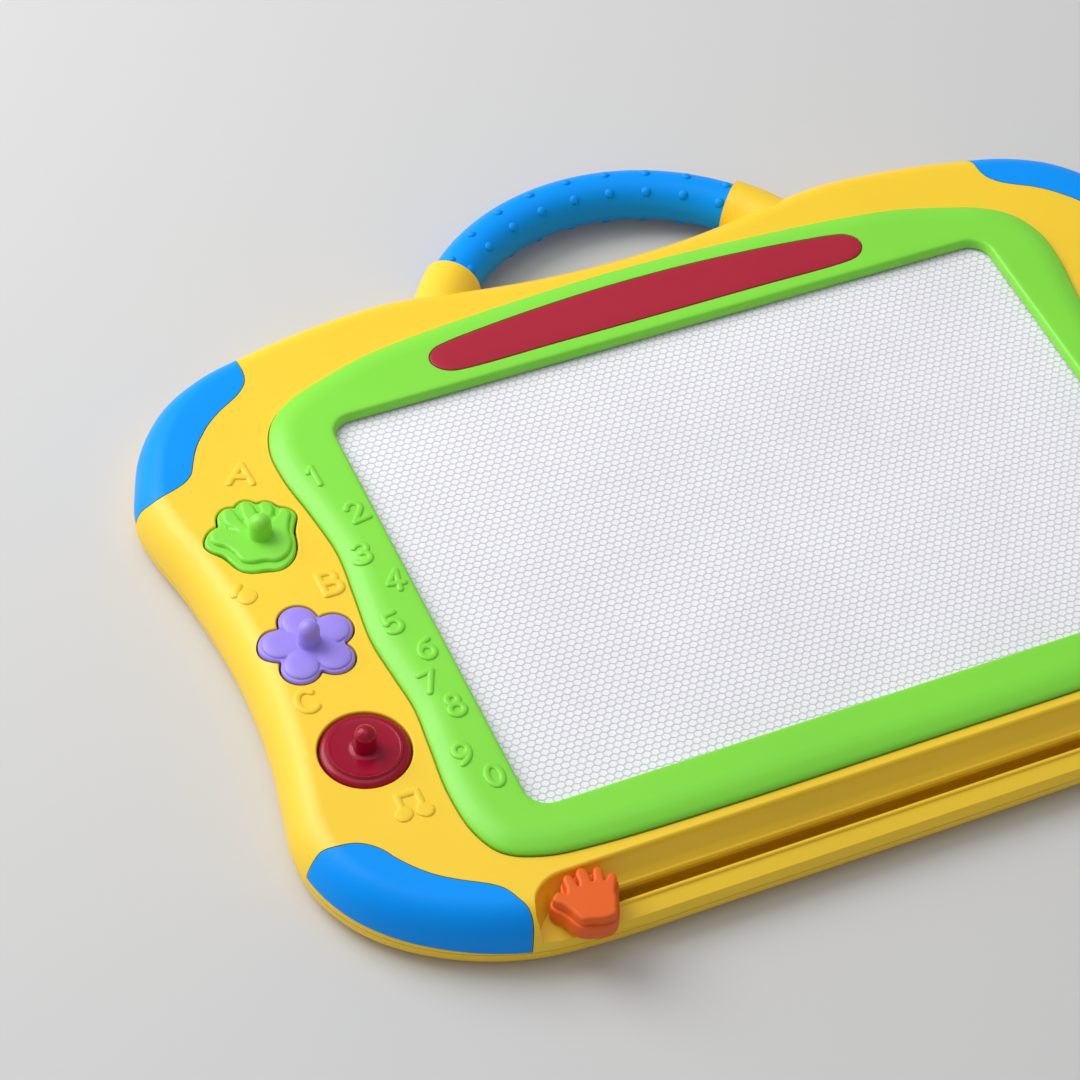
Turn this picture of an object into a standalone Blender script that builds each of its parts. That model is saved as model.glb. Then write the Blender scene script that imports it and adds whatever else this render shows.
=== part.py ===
"""Kids' magnetic drawing board: case, screen, sliding eraser, three stamps and a pen.

The board lies on its back. +X is to the right, +Y towards the carry handle, +Z up out of the screen.
Every outline is drawn about the middle of the screen; the parent empty then centres the whole board.
"""
import math

import bmesh
import bpy
from mathutils import Matrix, Vector

MM = 0.001

# Case: outer outline, side profile and walls
case_half_width = 209.7 * MM
case_rear_reach = 150.6 * MM
case_front_reach = 136.7 * MM
case_top = 24.0 * MM
parting_height = 8.0 * MM
parting_gap = 0.3 * MM
shoulder_width = 12.0 * MM
shoulder_power = 2.1
belly_width = 5.0 * MM
case_wall = 2.4 * MM
floor_wall = 2.4 * MM
tongue_top = 10.0 * MM
tongue_foot = 5.0 * MM
tongue_width = 1.3 * MM
fit_gap = 0.3 * MM
overrun = 2.0 * MM
weld_distance = 0.005 * MM

# Left half of the case outline, from the middle of the rear edge round to the middle of the front edge.
# x is a share of case_half_width; y is a share of case_rear_reach or, below zero, of case_front_reach.
case_outline_shares = [
    (0.0, 0.934), (-0.14, 0.942), (-0.29, 0.970), (-0.38, 0.993), (-0.455, 1.0), (-0.60, 0.983),
    (-0.722, 0.951), (-0.805, 0.918), (-0.885, 0.855), (-0.946, 0.757), (-0.976, 0.668), (-1.0, 0.565),
    (-0.994, 0.465), (-0.974, 0.325), (-0.957, 0.12), (-0.955, -0.06), (-0.966, -0.24), (-0.984, -0.385),
    (-0.997, -0.51), (-0.990, -0.62), (-0.957, -0.735), (-0.900, -0.833), (-0.81, -0.922), (-0.71, -0.976),
    (-0.60, -0.995), (-0.35, -0.998), (0.0, -1.0),
]

# Screen and the laminate behind it; its margins run from the case's sides to the visible screen
screen_side_margin = 76.4 * MM
screen_rear_margin = 58.35 * MM
screen_front_margin = 44.45 * MM
screen_width = (case_half_width - screen_side_margin) * 2
screen_rear = case_rear_reach - screen_rear_margin
screen_front = case_front_reach - screen_front_margin
screen_height = screen_rear + screen_front
screen_middle = (0.0, (screen_rear - screen_front) / 2)
screen_corner = 8.0 * MM
panel_margin = 4.7 * MM
ledge_width = 4.0 * MM
ledge_thickness = 1.8 * MM
panel_clearance = 0.4 * MM
front_film_thickness = 0.3 * MM
core_thickness = 1.6 * MM
back_film_thickness = 0.4 * MM
lamination_gap = 0.05 * MM
panel_front_height = 23.8 * MM

# Bezel
bezel_side_width = 24.5 * MM
bezel_rear_width = 35.35 * MM
bezel_front_width = 20.45 * MM
bezel_half_width = screen_width / 2 + bezel_side_width
bezel_rear_reach = screen_rear + bezel_rear_width
bezel_front_reach = screen_front + bezel_front_width
bezel_crest = 28.0 * MM
bezel_wall = 2.2 * MM
bezel_slope = 9.0 * MM
bezel_foot_height = 0.5 * MM
bezel_lip_slope = 2.6 * MM
bezel_corner_steps = 8
bezel_outline_shares = [
    (0.0, 1.0), (-0.28, 0.990), (-0.56, 0.963), (-0.70, 0.937), (-0.815, 0.895), (-0.905, 0.850),
    (-0.965, 0.788), (-0.996, 0.695), (-0.998, 0.585), (-0.979, 0.433), (-0.965, 0.276), (-0.975, 0.12),
    (-0.988, -0.05), (-0.979, -0.205), (-0.971, -0.335), (-0.980, -0.49), (-0.990, -0.66),
    (-0.980, -0.815), (-0.944, -0.915), (-0.865, -0.968), (-0.74, -0.989), (-0.45, -1.0), (0.0, -1.0),
]

# Nameplate, a bare arched panel let into the bezel
nameplate_half_width = 88.3 * MM
nameplate_screen_gap = 6.55 * MM
nameplate_foot = screen_rear + nameplate_screen_gap
nameplate_rise = 20.0 * MM
nameplate_sink = 1.2 * MM
nameplate_crown = 0.4 * MM
nameplate_gap = 0.25 * MM
nameplate_outline_shares = [
    (0.0, 1.0), (-0.25, 0.979), (-0.5, 0.915), (-0.75, 0.811), (-0.90, 0.72), (-0.955, 0.655),
    (-0.99, 0.52), (-1.0, 0.36), (-0.985, 0.19), (-0.95, 0.06), (-0.90, 0.0), (-0.45, -0.005), (0.0, -0.008),
]

# Corner guards, let flush into the case's shoulder
guard_thickness = 1.1 * MM
guard_seat_gap = 0.3 * MM
guard_side_gap = 0.15 * MM
# Outlines in shares of case_half_width and case_rear_reach or case_front_reach, running past the case.
rear_guard_shares = [
    (-0.70, 1.30), (-0.729, 1.06), (-0.728, 0.909), (-0.737, 0.825), (-0.757, 0.797), (-0.795, 0.772),
    (-0.829, 0.735), (-0.853, 0.697), (-0.870, 0.671), (-0.887, 0.621), (-0.902, 0.581),
    (-0.919, 0.567), (-0.946, 0.563), (-0.966, 0.581), (-0.990, 0.600), (-1.06, 0.630), (-1.25, 0.75),
    (-1.15, 1.15), (-0.90, 1.40),
]
front_guard_shares = [
    (-1.25, -0.72), (-1.06, -0.600), (-0.985, -0.588), (-0.968, -0.584), (-0.946, -0.592),
    (-0.919, -0.599), (-0.901, -0.613), (-0.882, -0.640), (-0.868, -0.676), (-0.848, -0.717),
    (-0.824, -0.754), (-0.796, -0.786), (-0.767, -0.813), (-0.748, -0.831), (-0.733, -0.854),
    (-0.722, -0.888), (-0.714, -0.918), (-0.714, -0.951), (-0.724, -0.992), (-0.73, -1.10),
    (-0.72, -1.35), (-0.95, -1.40), (-1.18, -1.15),
]

# Carry handle and its two sockets
handle_axis_height = 11.5 * MM
handle_arc_radius = 81.0 * MM
handle_arc_inset = 51.2 * MM
handle_arc_centre = case_rear_reach - handle_arc_inset
handle_grip_radius = 9.45 * MM
handle_grip_half_angle = math.radians(46.0)
handle_tail_angle = math.radians(9.0)
handle_bore_angle = math.radians(11.0)
socket_radius = 11.3 * MM
socket_angle = math.radians(18.0)
socket_steps = 6
grip_steps = 26
tube_resolution = 5

# Eraser trough along the front edge, its slot and the two lips beside the slot
trough_end_margin = 61.5 * MM
trough_depth = 19.7 * MM
trough_half_length = case_half_width - trough_end_margin
trough_back = case_front_reach - trough_depth
trough_corner = 14.0 * MM
trough_band_width = 5.6 * MM
trough_band_foot = trough_back + trough_band_width
trough_wall_foot_height = 18.2 * MM
trough_wall_lean = 0.3 * MM
trough_floor_height = 14.2 * MM
trough_skin = 2.0 * MM
trough_rim = 1.2 * MM
slot_inset = 9.8 * MM
slot_middle = trough_back + slot_inset
slot_width = 3.0 * MM
slot_end_gap = 8.2 * MM
slot_half_length = trough_half_length - slot_end_gap
lip_width = 1.6 * MM
lip_foot = 0.4 * MM
back_lip_height = 0.8 * MM
front_lip_height = 0.4 * MM
deck_gap = 3.5 * MM
deck_width = 4.9 * MM
deck_drop = 0.6 * MM
deck_front_drop = 2.2 * MM
deck_back = slot_middle + deck_gap
deck_front = deck_back + deck_width
nose_drop = 5.4 * MM

# Eraser: knob on top, bar under the screen, magnet strip in the bar
eraser_end_gap = 10.0 * MM
eraser_rest = -(slot_half_length - eraser_end_gap)
knob_lead = 2.0 * MM
knob_middle = slot_middle + knob_lead
knob_half_width = 11.2 * MM
knob_half_height = 10.4 * MM
knob_base_thickness = 5.9 * MM
knob_top_thickness = 3.9 * MM
knob_base_growth = 1.4 * MM
knob_back_gap = 0.6 * MM
knob_back_limit = trough_back + knob_back_gap
knob_base_height = 15.3 * MM
knob_edge = 0.7 * MM
stem_length = 8.0 * MM
stem_thickness = 2.4 * MM
stem_bottom = 4.4 * MM
stem_foot_gap = 0.2 * MM
pin_radius = 0.9 * MM
pin_height = 7.0 * MM
pin_length = 7.4 * MM
bar_width = 9.0 * MM
bar_height = 5.6 * MM
bar_top = 18.9 * MM
bar_rear_margin = 11.35 * MM
bar_rear = screen_rear + bar_rear_margin
web_setback = 7.6 * MM
web_back = trough_back - web_setback
web_thickness = 3.6 * MM
foot_top = 9.8 * MM
foot_bottom = 3.4 * MM
foot_wall_gap = 5.12 * MM
foot_width = 15.0 * MM
rail_top = 6.0 * MM
rail_thickness = 2.0 * MM
rail_gap = 0.4 * MM
front_rail_inset = 2.0 * MM
front_rail = trough_back + front_rail_inset
rear_rail_inset = 3.6 * MM
rear_rail = bar_rear - rear_rail_inset
rear_foot_length = 6.4 * MM
magnet_width = 4.6 * MM
magnet_height = 2.6 * MM
magnet_end_margin = 0.65 * MM
magnet_front = screen_front - magnet_end_margin
magnet_rear = screen_rear - magnet_end_margin
magnet_air_gap = 0.35 * MM

# Stamps: pockets in the case, stepped bodies with a peg, magnet sheets underneath
pocket_floor_height = 17.0 * MM
pocket_skin = 2.0 * MM
pocket_side_gap = 0.35 * MM
pocket_rim = 0.8 * MM
stamp_magnet_thickness = 1.5 * MM
stamp_magnet_inset = 1.0 * MM
stamp_lower_top = 24.4 * MM
stamp_step_height = 1.1 * MM
stamp_step_edge = 0.4 * MM
peg_foot_fillet = 1.0 * MM
peg_dome = 3.0 * MM
stamp_edge = 0.6 * MM
stamp_margin = 33.6 * MM
stamp_column = case_half_width - stamp_margin
hand_set_out = 0.4 * MM
hand_rise = 53.2 * MM
hand_middle = (-stamp_column - hand_set_out, screen_middle[1] + hand_rise)
hand_half_width = 17.5 * MM
hand_half_height = 17.1 * MM
hand_peg_offset = (2.0 * MM, -0.7 * MM)
hand_peg_height = 9.2 * MM
hand_peg_radius = 4.1 * MM
flower_rise = 0.6 * MM
flower_middle = (-stamp_column, screen_middle[1] + flower_rise)
petal_count = 5
petal_reach = 10.6 * MM
petal_radius = 6.9 * MM
petal_tier_reach = 10.0 * MM
petal_tier_radius = 6.1 * MM
flower_peg_height = 10.0 * MM
flower_peg_radius = 3.9 * MM
disc_set_in = 1.1 * MM
disc_fall = 47.6 * MM
disc_middle = (-stamp_column + disc_set_in, screen_middle[1] - disc_fall)
disc_radius = 15.4 * MM
disc_tier_inset = 2.8 * MM
disc_peg_height = 9.8 * MM
disc_peg_radius = 3.9 * MM
peg_taper_share = 0.93

# Hand outlines, shares of hand_half_width and hand_half_height
hand_outline_shares = [
    (-1.0, 0.13), (-0.91, 0.33), (-0.77, 0.46), (-0.65, 0.505), (-0.575, 0.53), (-0.55, 0.66),
    (-0.48, 0.82), (-0.31, 0.93), (-0.17, 0.915), (-0.11, 0.885), (-0.03, 0.95), (0.11, 1.0),
    (0.255, 0.935), (0.345, 0.825), (0.48, 0.83), (0.62, 0.775), (0.715, 0.59), (0.85, 0.515),
    (0.955, 0.395), (0.98, 0.25), (0.88, 0.05), (0.775, -0.155), (0.75, -0.335), (0.68, -0.565),
    (0.54, -0.80), (0.34, -0.955), (0.14, -1.0), (-0.08, -0.925), (-0.34, -0.875), (-0.54, -0.75),
    (-0.65, -0.505), (-0.74, -0.255), (-0.93, -0.06),
]
hand_tier_shares = [
    (-0.87, 0.20), (-0.80, 0.37), (-0.64, 0.425), (-0.44, 0.36), (-0.465, 0.57), (-0.43, 0.75),
    (-0.33, 0.86), (-0.20, 0.845), (-0.145, 0.69), (-0.085, 0.45), (-0.045, 0.69), (0.0, 0.865),
    (0.11, 0.92), (0.225, 0.835), (0.255, 0.69), (0.295, 0.57), (0.37, 0.745), (0.485, 0.79),
    (0.595, 0.705), (0.625, 0.57), (0.585, 0.37), (0.74, 0.475), (0.855, 0.425), (0.88, 0.28),
    (0.77, 0.075), (0.68, -0.16), (0.655, -0.39), (0.54, -0.625), (0.37, -0.77), (0.17, -0.81),
    (-0.03, -0.73), (-0.31, -0.685), (-0.47, -0.565), (-0.54, -0.33), (-0.65, -0.10), (-0.81, 0.045),
]
# Eraser knob outline, shares of knob_half_width and knob_half_height
knob_outline_shares = [
    (-1.0, 0.22), (-0.93, 0.33), (-0.78, 0.405), (-0.61, 0.25), (-0.485, 0.46), (-0.465, 0.75),
    (-0.36, 0.905), (-0.235, 0.845), (-0.18, 0.61), (-0.15, 0.365), (-0.065, 0.51), (-0.02, 0.865),
    (0.115, 1.0), (0.25, 0.91), (0.285, 0.65), (0.27, 0.405), (0.355, 0.435), (0.445, 0.67),
    (0.51, 0.80), (0.625, 0.845), (0.715, 0.72), (0.67, 0.51), (0.625, 0.27), (0.73, 0.345),
    (0.85, 0.46), (0.985, 0.45), (1.0, 0.31), (0.91, 0.125), (0.76, -0.165), (0.715, -0.405),
    (0.58, -0.71), (0.49, -0.93), (0.27, -1.0), (0.0, -0.96), (-0.27, -0.865), (-0.49, -0.79),
    (-0.58, -0.60), (-0.67, -0.31), (-0.80, -0.05), (-0.91, 0.06),
]

# Pen and its channel on the right of the screen
pen_margin = 33.7 * MM
pen_rise = 2.0 * MM
pen_middle = (case_half_width - pen_margin, screen_middle[1] + pen_rise)
pen_radius = 5.6 * MM
pen_sink = 1.4 * MM
pen_barrel_length = 92.0 * MM
pen_cone_length = 13.0 * MM
pen_tip_radius = 2.2 * MM
pen_tip_bore = 1.9 * MM
pen_tip_length = 7.0 * MM
pen_tip_show = 2.6 * MM
pen_cap_length = 13.0 * MM
pen_cap_plug = 5.0 * MM
pen_wall = 1.4 * MM
pen_segments = 16
channel_end_gap = 2.0 * MM
channel_side_gap = 0.6 * MM
scoop_radius = 13.0 * MM
scoop_height = 18.6 * MM

# Screws
rear_corner_screw_margins = (31.7 * MM, 38.6 * MM)
rear_middle_screw_margins = (17.0 * MM, 19.6 * MM)
front_corner_screw_margins = (25.7 * MM, 46.7 * MM)
trough_screw_margins = (1.2 * MM, 16.0 * MM)
case_screw_places = [
    (case_half_width - rear_corner_screw_margins[0], case_rear_reach - rear_corner_screw_margins[1]),
    (handle_arc_radius + rear_middle_screw_margins[0], case_rear_reach - rear_middle_screw_margins[1]),
    (case_half_width - front_corner_screw_margins[0], front_corner_screw_margins[1] - case_front_reach),
    (trough_half_length - trough_screw_margins[0], trough_screw_margins[1] - trough_back),
]
case_screw_radius = 1.4 * MM
case_screw_head_radius = 2.9 * MM
case_screw_head_height = 1.8 * MM
case_screw_tip_height = 16.0 * MM
case_screw_seat_height = 4.0 * MM
case_boss_radius = 3.6 * MM
cover_boss_radius = 5.0 * MM
boss_gap = 0.3 * MM
bezel_screw_margin = 10.8 * MM
bezel_rear_screw_margin = 24.25 * MM
bezel_front_screw_margin = 30.25 * MM
bezel_top_screw_margins = (12.7 * MM, 15.75 * MM)
bezel_screw_places = [
    (bezel_half_width - bezel_screw_margin, screen_rear - bezel_rear_screw_margin),
    (bezel_half_width - bezel_screw_margin, bezel_front_screw_margin - screen_front),
    (nameplate_half_width + bezel_top_screw_margins[0], screen_rear + bezel_top_screw_margins[1]),
]
bezel_screw_radius = 1.1 * MM
bezel_screw_head_radius = 2.5 * MM
bezel_screw_head_height = 1.5 * MM
bezel_screw_grip = 2.0 * MM
bezel_boss_radius = 3.0 * MM
pilot_gap = 0.1 * MM
hole_gap = 0.3 * MM
screw_segments = 10
boss_segments = 14

# Shares and small allowances
rim_overshoot = 1.03
bezel_foot_gap = 0.3 * MM
bezel_lip_edge = 24.9 * MM
bezel_lip_width = 3.4 * MM
bezel_slope_shares = [(0.2, 0.5), (0.55, 0.88), (1.0, 1.0)]
bezel_lip_shares = [(1.0, 1.0), (0.45, 0.68)]
nameplate_edge = 0.3 * MM
nameplate_crown_width = 3.0 * MM
guard_foot_gap = 0.1 * MM
socket_low = 1.0 * MM
rim_step = 0.1 * MM
socket_mouth_angle = math.radians(2.0)
nose_width = 1.6 * MM
lip_root = 1.4 * MM
panel_seat_height = 21.1 * MM
magnet_seat_depth = 0.9 * MM
knob_band_lift = 3.2 * MM
peg_dome_shares = [(1.0, 1.0), (0.87, 0.5), (0.5, 0.13)]
drive_depth_share = 0.5
drive_width_share = 0.45
pen_nose_wall = 0.9 * MM
pen_cone_share = 0.82
pen_cone_bulge = 0.6
pen_tip_round = 0.6
pen_cap_shares = (0.7, 0.9, 0.93, 0.6)

# How finely curved outlines are cut
petal_arc_steps = 8
outline_span_steps = 2
hidden_span_steps = 1
small_outline_span_steps = 2
shoulder_steps = 5
belly_steps = 2
flare_steps = 2
edge_steps = 1
circle_steps = 28
fold_share = 0.93


# Scene and collections

def clear_scene():
    for item in list(bpy.data.objects):
        bpy.data.objects.remove(item, do_unlink=True)


def new_collection(name):
    group = bpy.data.collections.new(name)
    bpy.context.scene.collection.children.link(group)
    return group


clear_scene()
board_parts = new_collection("drawing_board")
cutters = new_collection("cutters")


def material(name, colour, roughness, metallic=0.0):
    finish = bpy.data.materials.new(name)
    finish.use_nodes = True
    shader = finish.node_tree.nodes["Principled BSDF"]
    shader.inputs["Base Color"].default_value = (*colour, 1.0)
    shader.inputs["Roughness"].default_value = roughness
    shader.inputs["Metallic"].default_value = metallic
    return finish


yellow_plastic = material("yellow_plastic", (0.98, 0.66, 0.03), 0.38)
green_plastic = material("green_plastic", (0.22, 0.75, 0.06), 0.36)
blue_plastic = material("blue_plastic", (0.0, 0.27, 0.90), 0.36)
crimson_plastic = material("crimson_plastic", (0.46, 0.02, 0.05), 0.34)
red_plastic = material("red_plastic", (0.35, 0.008, 0.025), 0.16)
purple_plastic = material("purple_plastic", (0.29, 0.17, 0.85), 0.33)
orange_plastic = material("orange_plastic", (0.86, 0.15, 0.02), 0.36)
white_core = material("white_core", (0.80, 0.80, 0.83), 0.55)
clear_film = material("clear_film", (0.86, 0.86, 0.88), 0.25)
dark_magnet = material("dark_magnet", (0.035, 0.033, 0.032), 0.62)
steel = material("steel", (0.60, 0.60, 0.58), 0.32, 1.0)


# Outlines

def scaled_outline(shares, half_width, rear_reach, front_reach):
    """Points in metres from shares; rear_reach scales y above zero and front_reach y below it."""
    return [Vector((x * half_width, y * (rear_reach if y > 0 else front_reach))) for x, y in shares]


def with_mirror(half):
    """Closes a left half, drawn from the rear middle to the front middle, with its mirror image."""
    return half + [Vector((-p.x, p.y)) for p in reversed(half[1:-1])]


def mirrored(loop):
    return [Vector((-p.x, p.y)) for p in reversed(loop)]


def smooth_loop(points, span_steps):
    """Closed centripetal Catmull-Rom curve through the points."""
    loop = []
    count = len(points)
    for i in range(count):
        before, start, end, after = (points[(i + k) % count] for k in (-1, 0, 1, 2))
        t1 = math.sqrt((start - before).length)
        t2 = t1 + math.sqrt((end - start).length)
        t3 = t2 + math.sqrt((after - end).length)
        for step in range(span_steps):
            t = t1 + (t2 - t1) * step / span_steps
            a1 = before.lerp(start, t / t1)
            a2 = start.lerp(end, (t - t1) / (t2 - t1))
            a3 = end.lerp(after, (t - t2) / (t3 - t2))
            b1 = a1.lerp(a2, t / t2)
            b2 = a2.lerp(a3, (t - t1) / (t3 - t1))
            loop.append(b1.lerp(b2, (t - t1) / (t2 - t1)))
    return loop


def loop_area(loop):
    pairs = zip(loop, loop[1:] + loop[:1])
    return sum(p.x * q.y - q.x * p.y for p, q in pairs) / 2


def distance_to_loop(point, loop):
    nearest = math.inf
    for start, end in zip(loop, loop[1:] + loop[:1]):
        span = end - start
        share = max(0.0, min(1.0, (point - start).dot(span) / span.length_squared))
        nearest = min(nearest, (point - start - span * share).length)
    return nearest


def inset_loop(loop, distance):
    """Moves every point along its inward normal; a negative distance grows the loop.

    Where the moved loop would fold over itself, the folded points are spread between their neighbours.
    """
    if distance == 0:
        return [p.copy() for p in loop]
    turn = 1.0 if loop_area(loop) > 0 else -1.0
    moved = []
    for i, point in enumerate(loop):
        along = (loop[(i + 1) % len(loop)] - loop[i - 1]).normalized()
        inward = Vector((-along.y, along.x)) * turn
        moved.append(point + inward * distance)
    count = len(loop)
    sound = [distance_to_loop(p, loop) > abs(distance) * fold_share for p in moved]
    spread = [p.copy() for p in moved]
    for i in range(count):
        if not sound[i]:
            back = next(k for k in range(1, count) if sound[(i - k) % count])
            ahead = next(k for k in range(1, count) if sound[(i + k) % count])
            spread[i] = moved[(i - back) % count].lerp(moved[(i + ahead) % count], back / (back + ahead))
    return spread


def circle_loop(middle, radius, steps=circle_steps):
    angles = [math.tau * i / steps for i in range(steps)]
    return [Vector((middle[0] + radius * math.cos(a), middle[1] + radius * math.sin(a))) for a in angles]


def rounded_rectangle(half_width, half_height, corner, corner_steps=6, middle=screen_middle):
    loop = []
    centres = [(1, 1, 0.0), (-1, 1, 0.25), (-1, -1, 0.5), (1, -1, 0.75)]
    for sx, sy, turn_share in centres:
        cx = middle[0] + sx * (half_width - corner)
        cy = middle[1] + sy * (half_height - corner)
        for step in range(corner_steps + 1):
            angle = math.tau * (turn_share + step / corner_steps / 4)
            loop.append(Vector((cx + corner * math.cos(angle), cy + corner * math.sin(angle))))
    return loop


def placed(loop, middle):
    return [Vector((p.x + middle[0], p.y + middle[1])) for p in loop]


# Solids

def link_mesh(name, bm, group):
    bmesh.ops.recalc_face_normals(bm, faces=bm.faces)
    mesh = bpy.data.meshes.new(name)
    bm.to_mesh(mesh)
    bm.free()
    solid = bpy.data.objects.new(name, mesh)
    group.objects.link(solid)
    return solid


def loft(name, rings, group=None, closed=False):
    """Skins equal-sized rings of 3-D points; the ends are capped unless the loft closes on itself."""
    bm = bmesh.new()
    rows = [[bm.verts.new(p) for p in ring] for ring in rings]
    pairs = list(zip(rows, rows[1:]))
    if closed:
        pairs.append((rows[-1], rows[0]))
    for low, high in pairs:
        for i in range(len(low)):
            j = (i + 1) % len(low)
            bm.faces.new((low[i], low[j], high[j], high[i]))
    if not closed:
        bm.faces.new(rows[0])
        bm.faces.new(rows[-1])
    return link_mesh(name, bm, group or cutters)


def raised(loop, height):
    return [Vector((p.x, p.y, height)) for p in loop]


def stacked(name, outline, profile, group=None):
    """Lofts one outline through a profile of (inset, height) pairs."""
    return loft(name, [raised(inset_loop(outline, inset), height) for inset, height in profile], group)


def evaluated_mesh(source):
    """The mesh that an object shows with its modifiers, or that a curve makes."""
    bpy.context.view_layer.update()
    return bpy.data.meshes.new_from_object(source.evaluated_get(bpy.context.evaluated_depsgraph_get()))


def turned(name, profile, segments, group=None):
    """Turns a profile of (radius, height) pairs, with both ends on the axis, about Z."""
    outline = bmesh.new()
    points = [outline.verts.new((radius, 0.0, height)) for radius, height in profile]
    for start, end in zip(points, points[1:]):
        outline.edges.new((start, end))
    guide = bpy.data.objects.new(name + "_profile", bpy.data.meshes.new(name + "_profile"))
    outline.to_mesh(guide.data)
    outline.free()
    cutters.objects.link(guide)
    screw_step = guide.modifiers.new("turn", "SCREW")
    screw_step.steps = segments
    screw_step.render_steps = segments
    screw_step.use_merge_vertices = True
    screw_step.merge_threshold = weld_distance
    bm = bmesh.new()
    bm.from_mesh(evaluated_mesh(guide))
    bpy.data.objects.remove(guide, do_unlink=True)
    return link_mesh(name, bm, group or cutters)


def prism(name, outline, low, high, group=None):
    """A flat outline with thickness, from a filled 2-D curve."""
    curve = bpy.data.curves.new(name, "CURVE")
    curve.dimensions = "2D"
    curve.fill_mode = "BOTH"
    curve.extrude = (high - low) / 2
    path = curve.splines.new("POLY")
    path.points.add(len(outline) - 1)
    for point, place in zip(path.points, outline):
        point.co = (place.x, place.y, 0.0, 1.0)
    path.use_cyclic_u = True
    guide = bpy.data.objects.new(name + "_outline", curve)
    cutters.objects.link(guide)
    bm = bmesh.new()
    bm.from_mesh(evaluated_mesh(guide))
    bpy.data.objects.remove(guide, do_unlink=True)
    bmesh.ops.remove_doubles(bm, verts=bm.verts, dist=weld_distance)
    bmesh.ops.translate(bm, vec=(0.0, 0.0, (low + high) / 2), verts=bm.verts)
    return link_mesh(name, bm, group or cutters)


def upright(name, place, radius, low, high, segments=boss_segments):
    """A cylinder along Z."""
    bm = bmesh.new()
    bmesh.ops.create_cone(bm, cap_ends=True, segments=segments, radius1=radius, radius2=radius,
                          depth=high - low)
    bmesh.ops.translate(bm, vec=(*place, (low + high) / 2), verts=bm.verts)
    return link_mesh(name, bm, cutters)


def block(name, low, high):
    bm = bmesh.new()
    bmesh.ops.create_cube(bm, size=1.0)
    size = Vector(high) - Vector(low)
    middle = (Vector(high) + Vector(low)) / 2
    bmesh.ops.transform(bm, matrix=Matrix.Translation(middle) @ Matrix.Diagonal((*size, 1.0)), verts=bm.verts)
    return link_mesh(name, bm, cutters)


def extruded_along_x(name, section, half_length):
    """A (y, z) section run along X."""
    piece = prism(name, [Vector(point) for point in section], -half_length, half_length)
    piece.data.transform(Matrix(((0, 0, 1, 0), (1, 0, 0, 0), (0, 1, 0, 0), (0, 0, 0, 1))))
    return piece


def arc_tube(name, radius, start, end, steps, group=None):
    """A round tube along the handle's arc, between two angles from the arc's top; returned as a mesh."""
    curve = bpy.data.curves.new(name, "CURVE")
    curve.dimensions = "3D"
    curve.bevel_depth = radius
    curve.bevel_resolution = tube_resolution
    curve.use_fill_caps = True
    path = curve.splines.new("POLY")
    path.points.add(steps)
    for i, point in enumerate(path.points):
        angle = start + (end - start) * i / steps
        x = handle_arc_radius * math.sin(angle)
        y = handle_arc_centre + handle_arc_radius * math.cos(angle)
        point.co = (x, y, handle_axis_height, 1.0)
    guide = bpy.data.objects.new(name + "_curve", curve)
    cutters.objects.link(guide)
    bm = bmesh.new()
    bm.from_mesh(evaluated_mesh(guide))
    bpy.data.objects.remove(guide, do_unlink=True)
    bmesh.ops.remove_doubles(bm, verts=bm.verts, dist=weld_distance)
    return link_mesh(name, bm, group or cutters)


def combine(target, operation, tools):
    """Applies one exact Boolean for each tool, in order, and removes the tools."""
    for tool in tools:
        step = target.modifiers.new(operation.lower(), "BOOLEAN")
        step.operation = operation
        step.solver = "EXACT"
        step.object = tool
        shape = evaluated_mesh(target)
        target.modifiers.remove(step)
        old = target.data
        target.data = shape
        bpy.data.meshes.remove(old)
        bpy.data.objects.remove(tool, do_unlink=True)
    return target


def cut(target, *tools):
    return combine(target, "DIFFERENCE", tools)


def join(target, *tools):
    return combine(target, "UNION", tools)


def keep(target, *tools):
    return combine(target, "INTERSECT", tools)


def finish(piece, name, finish_material, smooth_angle=math.radians(32.0)):
    """Moves a finished solid to the board's collection, names, colours and shades it."""
    for group in list(piece.users_collection):
        group.objects.unlink(piece)
    board_parts.objects.link(piece)
    piece.name = name
    piece.data.name = name
    piece.data.materials.clear()
    piece.data.materials.append(finish_material)
    piece.data.shade_smooth()
    piece.data.set_sharp_from_angle(angle=smooth_angle)
    return piece


# Side profiles, as (inset, height) pairs; depth sinks them square to the surface

def shoulder_profile(low, depth=0.0):
    """From the parting line up over the shoulder to the flat top."""
    profile = [(depth, low)]
    rise = case_top - parting_height
    for step in range(1, shoulder_steps + 1):
        angle = math.tau / 4 * step / shoulder_steps
        across = max(math.cos(angle), 0.0) ** (2 / shoulder_power)
        up = math.sin(angle) ** (2 / shoulder_power)
        normal = Vector((across ** (shoulder_power - 1) / shoulder_width,
                         up ** (shoulder_power - 1) / rise)).normalized()
        profile.append((shoulder_width * (1 - across) + depth * normal.x,
                        parting_height + rise * up - depth * normal.y))
    return profile


def belly_profile(high, depth=0.0, side_depth=0.0):
    """From the flat underside out to the parting line; the floor may be thicker than the sides."""
    profile = []
    for step in range(belly_steps):
        angle = math.tau / 4 * (1 - step / belly_steps)
        normal = Vector((math.cos(angle) / belly_width, math.sin(angle) / parting_height)).normalized()
        profile.append((belly_width * (1 - math.cos(angle)) + side_depth * normal.x,
                        parting_height * (1 - math.sin(angle)) + depth * normal.y))
    profile.append((side_depth, high))
    return profile


def flared_profile(low, rim):
    """A pocket cutter's profile: straight walls that flare out over a rounded rim at the case's top."""
    profile = [(0.0, low), (0.0, case_top - rim)]
    for step in range(1, flare_steps + 1):
        angle = math.tau / 4 * step / flare_steps
        profile.append((-rim * (1 - math.cos(angle)), case_top - rim + rim * rim_overshoot * math.sin(angle)))
    return profile + [(-rim, case_top + overrun * 3)]


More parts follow.
